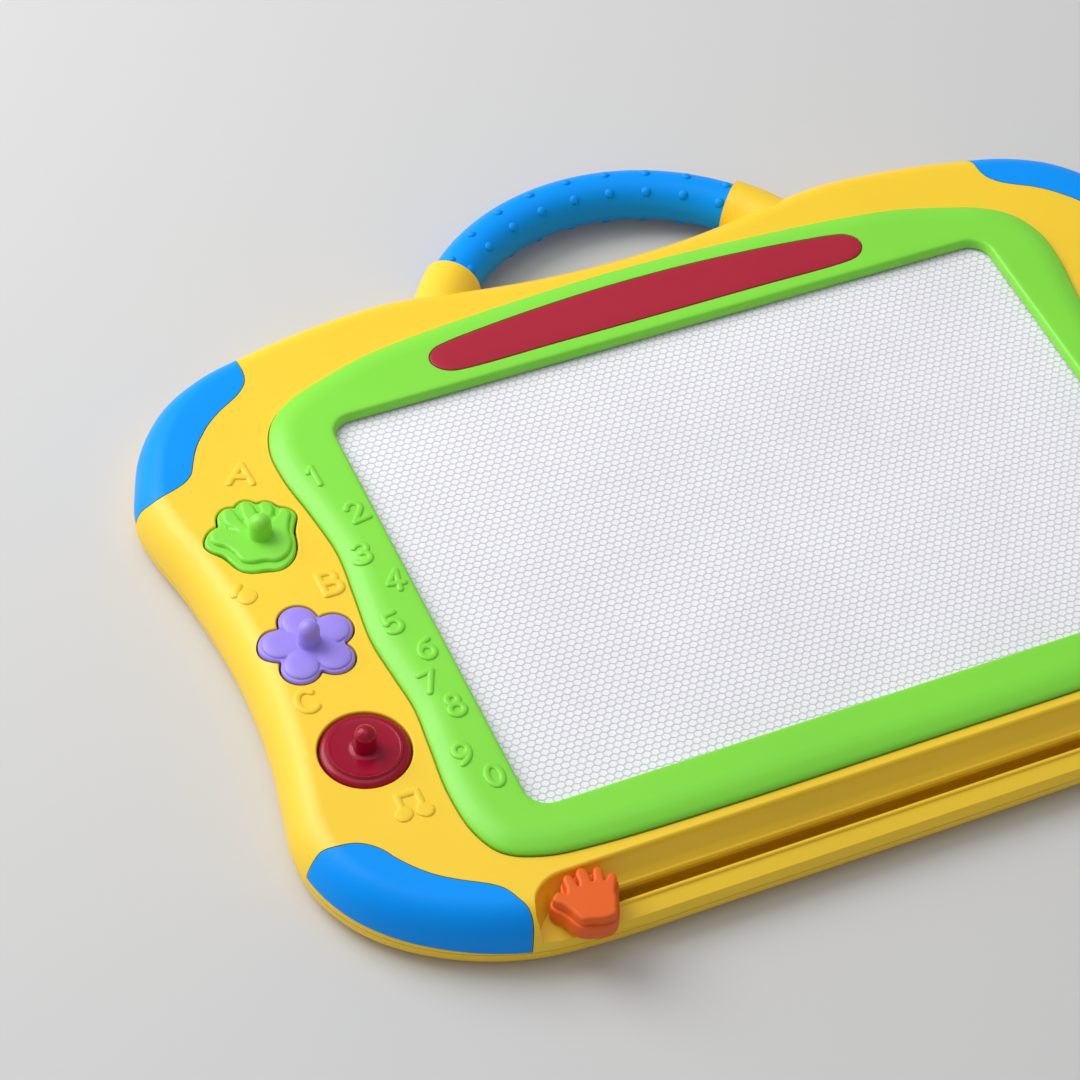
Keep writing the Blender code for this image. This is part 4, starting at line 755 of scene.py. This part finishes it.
flower_fine = softened(petal_loop(*LOWER_PETAL), 2)
pocket_loops = {
    "hand": placed(inset_loop(softened(hand_fine, 12), -HAND_GAP), HAND_AT),
    "flower": placed(inset_loop(flower_fine, -FLOWER_GAP), FLOWER_AT),
    "disc": circle_loop(DISC_POCKET_RADIUS, 96, DISC_AT),
}


CHANNEL_RADIUS = 6.2
CHANNEL_HALF = 63.3
CHANNEL_WELL_RISE = 0.2
ABOVE_TOP = 26.0


def channel_shape(name, growth):
    """The pen's round-bottomed channel, wider by a growth on every side."""
    radius = CHANNEL_RADIUS + growth
    turns = [math.pi * i / 24 for i in range(25)]
    high = PEN_HEIGHT + CHANNEL_WELL_RISE if growth else ABOVE_TOP
    bowl = [(radius * math.cos(a), PEN_HEIGHT - radius * math.sin(a)) for a in turns]
    section = [(radius, high)] + bowl + [(-radius, high)]
    half = CHANNEL_HALF + growth
    x0, y0 = PEN_AT
    return lofted(name, [[Vector((x0 + x, y0 + y, z)) for x, z in section] for y in (-half, half)])


TROUGH_BACK = -117.0
TROUGH_HALF = 148.2
TROUGH_REACH = 42.0
TROUGH_CORNER = 14.0
TROUGH_WALL = [(5.4, -2.0), (4.5, 13.6), (4.2, 14.0), (3.7, 14.7), (0.5, 20.3), (0.1, 21.4), (0.0, 21.9)]
TROUGH_RIM = 1.2
STEEP_UP_TO = -135.0
STEEP_FADE = 15.0
STEEP_SHARE = 0.12


def trough_plan(corner_steps=24):
    middle = (0.0, TROUGH_BACK - TROUGH_REACH)
    return rounded_rectangle(TROUGH_HALF, TROUGH_REACH, TROUGH_CORNER, corner_steps, middle)


def trough_walls():
    """The trough's outline with sloping walls, which stand steeper towards its open front."""
    corners = trough_plan()
    plan = []
    for a, b in zip(corners, corners[1:] + corners[:1]):
        plan.append(a)
        if abs(a.x - b.x) < 0.01:
            plan += [a.lerp(b, i / 24) for i in range(1, 24)]
    rings = []
    for inset, z in TROUGH_WALL + flared_profile(0.0, TROUGH_RIM)[1:]:
        ring = []
        for outer, inner in zip(plan, inset_loop(plan, inset, False)):
            slope = STEEP_SHARE + (1 - STEEP_SHARE) * smooth_step((outer.y - STEEP_UP_TO) / STEEP_FADE)
            ring.append(outer.lerp(inner, slope))
        rings.append(raised(ring, z))
    return lofted("trough_plan", rings)


def trough_section(back=0.0, drop=0.0):
    """The trough from its back wall over the lip's nose to the front; drop lowers its floor."""
    high = CASE_TOP + OVERRUN
    nose = [(-130.3, 13.6 - drop), (-135.2, 12.0 - drop), (-136.8, 8.8 - drop), (-144.8, 3.4 - drop)]
    wall = [(-114.7 + back, high), (TROUGH_BACK + back, 18.2 - drop), (-122.6 + back, 14.2 - drop)]
    return wall + nose + [(-144.8, high)]


def round_bar(name, y0, y1, low, top, half):
    r = (y1 - y0) / 2
    turns = [math.pi * i / 8 for i in range(9)]
    arch = [((y0 + y1) / 2 - r * math.cos(a), top - r + r * math.sin(a)) for a in turns]
    return extruded_x(name, [(y0, low)] + arch + [(y1, low)], half)


# Margins are counted outwards from the screen's opening
FRAME_MARGIN = 7.5
FRAME_FOOT = 19.3
OPENING_MARGIN = 5.1
LEDGE_MARGIN = 1.1
LEDGE_CORNER = 4.0
LEDGE_TOP = 21.1
LEDGE_BLANK_TOP = 23.0
WELL_SKIN = 2.0
TROUGH_SKIN = 2.2
TROUGH_BLANK_HALF = 152.0
SHELL_FOOT = 8.15
SHELL_SOCKETS = (8.25, ABOVE_TOP)
POCKET_FLOOR = 17.0
POCKET_RIM = 0.8
# Radius and floor of the finger scoop beside the pen
SCOOP = (13.0, 18.6)
SLOT_Y = (-128.5, -123.7)
# Front, back, foot and top of each lip
BACK_LIP = (-123.5, -121.9, 12.8, 15.0)
FRONT_LIP = (-130.1, -128.6, 12.4, 14.6)
LIP_HALF = 139.6
SEAM = 0.55
SEAM_FLOOR = 22.7
GUARD_GAP = 0.35
GUARD_FOOT_GAP = 0.15
RECESS_DEPTH = 1.4
RECESS_BLANK_FOOT = 4.0
FRUIT_AT = (-189.4, 30.2)
NOTES_AT = (-169.0, -73.6)


def shell_cavity():
    """The space inside the front shell, which leaves a skin round each pocket, the channel and the trough."""
    space = stacked("cavity", case_plain, shoulder_profile(INSIDE_FOOT, SKIN, 6), False)
    wells = [prism(name, softened(inset_loop(loop, -WELL_SKIN), 14), POCKET_FLOOR - WELL_SKIN, ABOVE_TOP)
             for name, loop in pocket_loops.items()]
    cut(space, merge("wells", wells + [channel_shape("well", WELL_SKIN)]))
    scoop_well = circle_loop(SCOOP[0] + WELL_SKIN, 72, PEN_AT)
    cut(space, prism("scoop_well", scoop_well, SCOOP[1] - WELL_SKIN, ABOVE_TOP))
    section = trough_section(TROUGH_SKIN, WELL_SKIN)
    trough_well = extruded_x("trough_well", section, TROUGH_HALF + TROUGH_SKIN)
    keep(trough_well, prism("plan", inset_loop(trough_plan(4), -WELL_SKIN), 0, 40))
    cut(space, trough_well)
    return cut(space, prism("frame", around_screen(FRAME_MARGIN, 4), FRAME_FOOT, ABOVE_TOP))


shell = stacked("shell", case_fine, shoulder_profile(SHELL_FOOT), False)
cut(shell, shell_cavity())
join(shell, sockets(*SHELL_SOCKETS))
cut(shell, socket_bores())
pockets = [stacked(n, l, flared_profile(POCKET_FLOOR, POCKET_RIM)) for n, l in pocket_loops.items()]
trough = keep(extruded_x("trough", trough_section(), TROUGH_BLANK_HALF), trough_walls())
cut(shell, merge("pockets", pockets + [channel_shape("channel", 0.0), trough]))
cut(shell, prism("scoop", circle_loop(SCOOP[0], 72, PEN_AT), SCOOP[1], ABOVE_TOP))
join(shell, merge("lips", [round_bar("lip", *lip, LIP_HALF) for lip in (BACK_LIP, FRONT_LIP)]))
slot = block("slot", (-SLOT_HALF, SLOT_Y[0], PARTING), (SLOT_HALF, SLOT_Y[1], CASE_TOP))
panel_opening = prism("panel_opening", around_screen(OPENING_MARGIN, 6), LEDGE_TOP, ABOVE_TOP)
cut(shell, merge("openings", [slot, panel_opening]))
cut(shell, prism("ledge_opening", around_screen(LEDGE_MARGIN, 6, LEDGE_CORNER), PARTING, LEDGE_BLANK_TOP))
cut(shell, prism("bezel_seat", inset_loop(bezel_fine, -SEAM, False), SEAM_FLOOR, ABOVE_TOP))
for outline in guard_outlines.values():
    recess = guard_prism(inset_loop(outline, -GUARD_GAP, False), GUARD_FOOT_GAP)
    floor_profile = shoulder_profile(RECESS_BLANK_FOOT, RECESS_DEPTH, 8)
    cut(recess, stacked("recess_floor", case_plain, floor_profile, False))
    cut(shell, recess)
# Each figure's middle, size, stroke width, height and turn
shell = with_figures(shell, [
    ("A", (-170.6, 82.6), 9.4, 2.7, 0.65, -21),
    ("B", (-159.8, 24.1), 9.4, 2.9, 0.65, 0),
    ("C", (-185.4, -21.6), 9.4, 2.8, 0.6, 0),
    ("fruit", FRUIT_AT, 9.0, 6.8, 0.6, 0),
    ("leaf", FRUIT_AT, 9.0, 3.4, 0.6, 0),
    ("note_stems", NOTES_AT, 10.0, 2.7, 0.6, -5),
    ("note_beam", NOTES_AT, 10.0, 3.0, 0.6, -5),
    ("note_heads", NOTES_AT, 10.0, 6.0, 0.6, -5),
])
finish_piece(shell, "moulded_front_shell", "case", YELLOW, "front_shell")


# Corner guards

GUARD_BLANK_FOOT = 8.3
GUARD_THICKNESS = 1.1
GUARD_EDGE = 0.22

for corner, outline in guard_outlines.items():
    guard = stacked("guard", case_fine, shoulder_profile(GUARD_BLANK_FOOT), False)
    keep(guard, guard_prism(outline))
    cut(guard, stacked("inside", case_fine, shoulder_profile(INSIDE_FOOT, GUARD_THICKNESS), False))
    finish_piece(guard, corner + "_guard_skin", "case", BLUE, corner + "_corner_guard", bevel=GUARD_EDGE)


# Bezel

def nearest_on_opening(point):
    """Nearest point on the opening's edge, and the direction from there to the point."""
    straight = Vector(SCREEN) - Vector((SCREEN_CORNER, SCREEN_CORNER))
    core = Vector([max(-reach, min(reach, place)) for reach, place in zip(straight, point)])
    away = (point - core).normalized()
    return core + away * SCREEN_CORNER, away


def ease(points, steps):
    """Smooth open curve through (across, height) points."""
    pts = [Vector(p) for p in points]
    pts = [pts[0] * 2 - pts[1]] + pts + [pts[-1] * 2 - pts[-2]]
    curve = []
    for i in range(1, len(pts) - 2):
        p0, p1, p2, p3 = pts[i - 1:i + 3]
        for step in range(steps):
            t = step / steps
            curve.append(0.5 * ((2 * p1) + (p2 - p0) * t + (2 * p0 - 5 * p1 + 4 * p2 - p3) * t * t
                                + (3 * p1 - p0 - 3 * p2 + p3) * t ** 3))
    return [(p.x, p.y) for p in curve] + [tuple(pts[-2])]


SKIRT = [(2.2, 23.4), (0.25, 23.4), (0.0, 23.65)]
UNDERSIDE = [(0.0, 24.1), (3.4, 24.1), (4.5, 25.8)]
UNDERSIDE_INSET = 9.0
PLATE_GAP = 0.25
PLATE_SEAT = [(0.0, 26.8), (0.0, 27.7), (-0.12, 27.92), (-0.35, 28.01), (-0.35, 30.0)]
PLATE_SIDE = [(0.0, 27.05), (0.0, 27.75), (0.12, 27.95), (0.4, 28.08), (1.2, 28.2), (2.6, 28.3), (5.0, 28.38)]
# Size, stroke width and height of a digit
DIGIT = (8.6, 2.45, 0.65)

outer_slope = ease([(0.0, 25.0), (0.7, 25.75), (2.2, 26.5), (4.8, 27.4), (7.4, 27.85), (9.6, 28.0)], 3)
inner_slope = ease([(3.4, 28.0), (1.7, 27.93), (0.85, 27.6), (0.35, 26.9), (0.1, 25.9), (0.0, 24.6)], 3)
feet = [nearest_on_opening(p) for p in bezel_fine]
rings = [raised(inset_loop(bezel_fine, inset, False), z) for inset, z in SKIRT + outer_slope]
rings += [[Vector((*(foot + away * out), z)) for foot, away in feet] for out, z in inner_slope + UNDERSIDE]
rings.append(raised(inset_loop(bezel_fine, UNDERSIDE_INSET, False), UNDERSIDE[-1][1]))
plate_loop = smooth_loop(with_mirror(NAMEPLATE_HALF), 8)
bezel = cut(lofted("bezel", rings, True), stacked("seat", inset_loop(plate_loop, -PLATE_GAP), PLATE_SEAT))
numbers = [("1", (-148, 69), 2), ("2", (-140.5, 48), 8), ("3", (-145.5, 29.5), -9), ("4", (-139.5, 14), -10),
           ("5", (-147.6, -3.4), 5), ("6", (-140.8, -17.9), -11), ("7", (-145.7, -31.5), -5),
           ("8", (-141.3, -44), 0), ("9", (-147, -64), -6), ("0", (-140.5, -76), -3)]
bezel = with_figures(bezel, [(digit, at, *DIGIT, turn) for digit, at, turn in numbers])
finish_piece(bezel, "moulded_bezel", "case", GREEN, "bezel")
finish_piece(stacked("plate", plate_loop, PLATE_SIDE), "bare_nameplate", "case", CRIMSON, "nameplate")


# Handle grip with raised dots

GRIP_RADIUS = 9.45
GRIP_END = 55.0
DOT_RADIUS = 1.9
DOT_FLATNESS = 0.62
DOT_REACH = 9.3
DOT_STEP = 11.0
DOT_ROWS = (15.0, -40.0, 90.0, 152.0, 212.0)

grip = [arc_tube("grip", GRIP_RADIUS, -GRIP_END, GRIP_END, 96, 56)]
for row in DOT_ROWS:
    for k in range(-4, 5):
        out, centre = handle_point(k * DOT_STEP)
        t = math.radians(90.0 - row)
        normal = out * math.cos(t) + UP * math.sin(t)
        turn = normal.to_track_quat("Z", "Y").to_matrix().to_4x4()
        place = Matrix.Translation(centre + normal * DOT_REACH) @ turn
        bm = bmesh.new()
        bmesh.ops.create_uvsphere(bm, u_segments=20, v_segments=12, radius=DOT_RADIUS)
        bmesh.ops.transform(bm, matrix=place @ Matrix.Diagonal((1, 1, DOT_FLATNESS, 1)), verts=bm.verts)
        grip.append(raw_object("dot", bm))
finish_piece(merge("grip", grip), "dotted_grip", "case", BLUE, "handle_grip", angle=60)


# Screen: honeycomb of open cells under the clear front film

CELL_PITCH = 3.03
CELL_ROW = 2.41
CELL_SLANT = math.radians(-2.3)
CELL_TOP = 23.44
CELL_FLOOR = 23.28
OPEN_SHARE = 0.89
FLOOR_SHARE = 0.97
CELLS_HALF = (136.2, 95.2)
SHEET_MARGIN = 4.7
SHEET_HEIGHTS = (21.85, 23.2)


def honeycomb():
    """Rows of six-sided cells: a flat rim and a low wall round each cell's floor."""
    slant = Matrix.Rotation(CELL_SLANT, 2)
    turns = [math.tau * (k / 6 + 1 / 12) for k in range(6)]
    outer = [slant @ Vector((CELL_PITCH / math.sqrt(3) * math.cos(a), CELL_ROW / 1.5 * math.sin(a)))
             for a in turns]
    inner = [p * OPEN_SHARE for p in outer]
    verts, faces, kinds = [], [], []
    cols, rows = 48, 43
    for j in range(-rows, rows + 1):
        for i in range(-cols, cols + 1):
            cx, cy = slant @ Vector((CELL_PITCH * (i + (0.5 if j % 2 else 0.0)), CELL_ROW * j))
            if abs(cx) > CELLS_HALF[0] or abs(cy) > CELLS_HALF[1]:
                continue
            base = len(verts)
            verts += [(cx + x, cy + y, CELL_TOP) for x, y in outer + inner]
            verts += [(cx + x * FLOOR_SHARE, cy + y * FLOOR_SHARE, CELL_FLOOR) for x, y in inner]
            for k in range(6):
                n = (k + 1) % 6
                faces.append((base + k, base + n, base + 6 + n, base + 6 + k))
                faces.append((base + 6 + k, base + 6 + n, base + 12 + n, base + 12 + k))
                kinds += [1, 1]
            faces.append(tuple(base + 12 + k for k in range(6)))
            kinds.append(0)
    mesh = bpy.data.meshes.new("screen_cells")
    mesh.from_pydata(verts, [], faces)
    mesh.polygons.foreach_set("material_index", kinds)
    mesh.transform(to_frame())
    mesh.materials.append(CELL)
    mesh.materials.append(WALL)
    return linked("screen_cells", mesh)


cells = honeycomb()
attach(cells, "case")
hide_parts("honeycomb_core")
sheet = prism("sheet", around_screen(SHEET_MARGIN, 8), *SHEET_HEIGHTS)
finish_piece(sheet, "screen_cell_base", "case", CELL, "honeycomb_core")


# Stamps

STAMP_FOOT = 18.85
LOWER_TOP = 24.4
STAMP_EDGE = 1.0
TIER_FOOT = 23.4
PEG_FOOT = 25.2
PALM_TOP = 25.7
PALM_SWELL = 1.3
GROOVE_TO = Vector((0.8, -2.5))
GROOVE_FROM = ((-7.7, 6.4), (-1.5, 8.0), (5.1, 9.9), (10.2, 6.6))
GROOVE_RUN = 3.8
GROOVE_HALF = 0.85
GROOVE_FADE = 0.75
PETALS_TOP = 25.5
PETAL_EDGE = 1.1
PETAL_SWELL = 1.15
PETAL_MIDDLE = 10.0
PETAL_RADIUS = 6.1
PETAL_LENGTHS = (13.0, 6.2)
PETAL_HALF = 6.15
# Place, radius and height of a peg
HAND_PEG = ((2.0, -0.7), 4.1, 9.5)
FLOWER_PEG = ((0.0, 0.0), 3.9, 10.3)
# Radius, foot and height of the disc's round peg end
DISC_PEG_END = (3.75, 32.0, 3.1)


def round_end(radius, foot, height, steps=9):
    """Profile points of a dome that starts level at its foot and ends on the axis."""
    dome = [(radius * math.cos(a), foot + height * math.sin(a)) for a in quarter(steps)]
    return dome[:-1] + [(0.0, dome[-1][1])]


def peg_profile(radius, low, height):
    """Upright peg with a fillet at its foot and a round end."""
    side = [(0.0, low - 1.0), (radius + 1.6, low - 1.0), (radius + 1.6, low - 0.02),
            (radius + 0.8, low + 0.15), (radius + 0.25, low + 0.6), (radius, low + 1.5)]
    dome = radius * 0.95
    return side + round_end(dome, low + height - dome, dome)


def stamp(name, outline, tier, at, peg, material):
    peg_at, radius, height = peg
    peg = turned("peg", peg_profile(radius, PEG_FOOT, height), 40, peg_at)
    lower = stacked("lower", outline, rounded_top(STAMP_FOOT, LOWER_TOP, STAMP_EDGE, 5))
    piece = merge(name, [lower, tier, peg])
    finish_piece(piece, name + "_stamp_body", name, material, name + "_stamp", offset=(*at, 0.0), angle=50)


def petal_rise(point):
    best = 0.0
    for petal in range(5):
        local = Matrix.Rotation(-math.tau * petal / 5, 2) @ point
        length = PETAL_LENGTHS[local.y > PETAL_MIDDLE]
        reach = math.hypot((local.y - PETAL_MIDDLE) / length, local.x / PETAL_HALF)
        best = max(best, PETAL_SWELL * math.sqrt(max(0.0, 1 - reach ** 3)))
    return best


def palm_rise(point):
    """The palm's swelling, cut by a groove from each gap between the fingers."""
    gap = min(gap_to([point], hand_tier_fine)[0], PALM_SWELL)
    swell = PALM_SWELL * math.sqrt(1 - (1 - gap / PALM_SWELL) ** 2)
    for inlet in GROOVE_FROM:
        start = Vector(inlet)
        run = (GROOVE_TO - start).normalized() * GROOVE_RUN
        share = max(0.0, min(1.0, (point - start).dot(run) / run.length_squared))
        away = (point - start - run * share).length
        swell -= (1.0 - GROOVE_FADE * share) * math.exp(-(away / GROOVE_HALF) ** 2)
    return max(0.0, swell)


palm = domed("tier", hand_tier_fine, TIER_FOOT, PALM_TOP, PALM_SWELL, palm_rise)
stamp("hand", hand_fine, palm, HAND_AT, HAND_PEG, GREEN)
petals = domed("tier", petal_loop(PETAL_MIDDLE, PETAL_RADIUS), TIER_FOOT, PETALS_TOP, PETAL_EDGE, petal_rise)
stamp("flower", flower_fine, petals, FLOWER_AT, FLOWER_PEG, PURPLE)

disc_profile = [(0.0, STAMP_FOOT), (15.4, STAMP_FOOT), (15.4, 22.6), (15.25, 23.3), (14.8, 23.9),
                (14.1, 24.3), (13.4, 24.4), (12.95, 24.45), (12.75, 24.7), (12.65, 25.2), (12.45, 25.45),
                (12.1, 25.5), (11.8, 25.42), (11.3, 25.3), (6.0, 25.25), (5.0, 25.35), (4.2, 25.8),
                (3.9, 26.6)]
disc = turned("disc", disc_profile + round_end(*DISC_PEG_END), 96)
finish_piece(disc, "disc_stamp_body", "disc", RED, "disc_stamp", offset=(*DISC_AT, 0.0), angle=40)


# Eraser knob

KNOB_Y = -128.8
# Foot, top and edge height of each layer
KNOB_LOWER = (15.3, 21.2, 0.9)
KNOB_TIER = (20.4, 25.1, 1.1)
STEM = ((-4.0, -128.0, 4.4), (4.0, -125.6, 17.3))
CLEARANCE_HALF = 22.0
KNOB_CLEARANCE = [(-123.2, 14.5), (-117.6, 18.5), (-117.6, 30.0), (-106.0, 30.0), (-106.0, 14.5)]

knob_foot = softened(inset_loop(softened(knob_fine, 12), -1.5), 16)
layers = [domed("lower", knob_foot, *KNOB_LOWER), domed("tier", inset_loop(knob_fine, -0.3), *KNOB_TIER)]
for layer in layers:
    layer.data.transform(Matrix.Translation((0.0, KNOB_Y, 0.0)))
    cut(layer, extruded_x("clearance", KNOB_CLEARANCE, CLEARANCE_HALF))
knob = merge("knob", layers + [block("stem", *STEM)])
finish_piece(knob, "knob_hand", "eraser", ORANGE, "eraser_knob", offset=(ERASER_X, 0.0, 0.0), angle=50)


# Pen, turned about its own axis from the tip backwards

PEN_START = -59.0
pen_profiles = {
    "pen_barrel": (BLUE, [(0.0, 4.9), (2.3, 4.9), (2.3, 0.0), (2.8, 0.0), (3.1, 0.3)]
                   + ease([(3.25, 1.0), (3.9, 4.4), (4.7, 8.2), (5.3, 11.0), (5.58, 13.4)], 5)
                   + [(5.6, 16.0), (5.6, 104.4), (5.45, 104.9), (5.1, 105.0), (4.2, 105.0), (4.2, 13.0),
                      (0.0, 13.0)]),
    "pen_end_cap": (YELLOW, [(0.0, 100.0), (4.1, 100.0), (4.1, 105.1), (5.1, 105.1), (5.45, 105.2),
                             (5.6, 105.7)]
                    + ease([(5.6, 112.5), (5.45, 115.0), (4.7, 117.0), (3.2, 117.9), (1.4, 118.0)], 4)
                    + [(0.0, 118.0)]),
    "pen_magnet_tip": (MAGNET, [(0.0, 4.4), (2.2, 4.4), (2.2, -1.2)]
                       + ease([(2.15, -1.7), (1.8, -2.3), (1.0, -2.58)], 3) + [(0.0, -2.6)]),
}
pen_place = Matrix.Translation((PEN_AT[0], PEN_AT[1] + PEN_START, PEN_HEIGHT))
for name, (material, profile) in pen_profiles.items():
    piece = turned(name, profile, 64)
    piece.data.transform(pen_place @ Matrix.Rotation(-math.tau / 4, 4, "X"))
    finish_piece(piece, name + "_turned", "pen", material, name, angle=40)


# Screws: cross-recessed heads and threaded shafts

# Shank and head radius, then the heights of the head's face, its seat and the tip
CASE_SCREW = (1.4, 2.9, 2.1, 3.9, 16.0)
BEZEL_SCREW = (1.1, 2.5, 20.0, 21.5, 26.3)
THREAD_PITCH = 0.9
CORE_SHARE = 0.8
CROSS_HALF = 0.35


def threaded_screw(name, place, radius, head_radius, low, seat, tip):
    """Screw that points up, with its head's face at low; its thread is a row of ridges."""
    profile = [(0.0, low), (head_radius - 0.6, low), (head_radius - 0.15, low + 0.2),
               (head_radius, low + 0.6), (head_radius, seat - 0.1), (head_radius - 0.1, seat), (radius, seat)]
    core = radius * CORE_SHARE
    for k in range(int((tip - seat - 2.2) / THREAD_PITCH)):
        z = seat + 0.7 + THREAD_PITCH * k
        profile += [(core, z), (radius, z + 0.35), (radius, z + 0.45), (core, z + 0.8)]
    profile += [(radius * 0.7, tip - 1.0), (0.0, tip)]
    piece = turned(name, profile, 28, place)
    cross_reach = head_radius * 0.6
    cross_top = low + (seat - low) * 0.55
    x, y = place
    for half_x, half_y in ((cross_reach, CROSS_HALF), (CROSS_HALF, cross_reach)):
        cut(piece, block("slot", (x - half_x, y - half_y, low - 1.0), (x + half_x, y + half_y, cross_top)))
    finish_piece(piece, name + "_threaded", "case", STEEL, name, angle=30)


bezel_screw_places = [(s * x, y) for x, y in ((146.7, 68.0), (146.7, -62.0), (101.0, 108.0)) for s in (-1, 1)]
for number, place in enumerate(screw_places, 1):
    threaded_screw(f"case_screw_{number}", place, *CASE_SCREW)
for number, place in enumerate(bezel_screw_places, 1):
    threaded_screw(f"bezel_screw_{number}", place, *BEZEL_SCREW)


# Carried-over nodes

carried_over = {
    "eraser_bar": WHITE, "eraser_magnet": MAGNET, "knob_pin": STEEL, "panel_front_film": FILM,
    "panel_back_film": WHITE, "hand_stamp_magnet": MAGNET, "flower_stamp_magnet": MAGNET,
    "disc_stamp_magnet": MAGNET,
}
for name, material in carried_over.items():
    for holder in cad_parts[name].material_slots:
        holder.material = material


# Floor

FLOOR_SIZE = 12.0
FLOOR_DROP = 0.0002

paper = bpy.data.materials.new("floor_paper")
paper.use_nodes = True
paper_shader = paper.node_tree.nodes["Principled BSDF"]
set_inputs(paper_shader, {"Base Color": (*srgb(206, 206, 206), 1.0), "Roughness": 0.9})
bpy.ops.mesh.primitive_plane_add(size=FLOOR_SIZE, location=(0, 0, -FLOOR_DROP))
floor = bpy.context.object
floor.name = "studio_floor"
floor.data.materials.append(paper)


# Camera, where the photo's stood

CAMERA_AT = Vector((-439.26, -689.53, 931.56))
HEADING, DOWN_TILT, ROLL = (math.radians(angle) for angle in (26.74, 48.97, 4.2))
FOCAL_PIXELS = 3431
PHOTO_PIXELS = 1080
SENSOR_WIDTH = 36.0

level = math.cos(DOWN_TILT)
forward = Vector((math.sin(HEADING) * level, math.cos(HEADING) * level, -math.sin(DOWN_TILT)))
right = Vector((math.cos(HEADING), -math.sin(HEADING), 0.0))
up = right.cross(forward)
camera_x = right * math.cos(ROLL) + up * math.sin(ROLL)
camera_y = up * math.cos(ROLL) - right * math.sin(ROLL)
camera = linked("camera", bpy.data.cameras.new("camera"))
turn = Matrix((camera_x, camera_y, -forward)).transposed().to_4x4()
camera.matrix_world = Matrix.Translation(CAMERA_AT * MM + Vector((0, SHIFT_Y, 0))) @ turn
camera.data.sensor_width = SENSOR_WIDTH
camera.data.lens = SENSOR_WIDTH * FOCAL_PIXELS / PHOTO_PIXELS
camera.data.clip_start = 0.05
camera.data.clip_end = 30.0
bpy.context.scene.camera = camera


# Light

SKY_STRENGTH = 0.385


def area_light(name, location, size, power):
    """Round lamp that faces the board."""
    data = bpy.data.lights.new(name, "AREA")
    data.shape = "DISK"
    data.size = size
    data.energy = power
    lamp = linked(name, data)
    lamp.location = location
    lamp.rotation_euler = (-lamp.location).to_track_quat("-Z", "Y").to_euler()


area_light("key", (-0.78, 0.92, 1.15), 1.25, 18.6)
area_light("top", (-0.2, 0.45, 2.1), 1.8, 7.6)
area_light("left_panel", (-1.55, 0.95, 0.65), 1.6, 9.0)
world = bpy.data.worlds.new("studio")
bpy.context.scene.world = world
world.use_nodes = True
sky = world.node_tree.nodes["Background"]
set_inputs(sky, {"Color": (1.0, 1.0, 1.0, 1.0), "Strength": SKY_STRENGTH})
bpy.context.scene.view_settings.view_transform = "Standard"
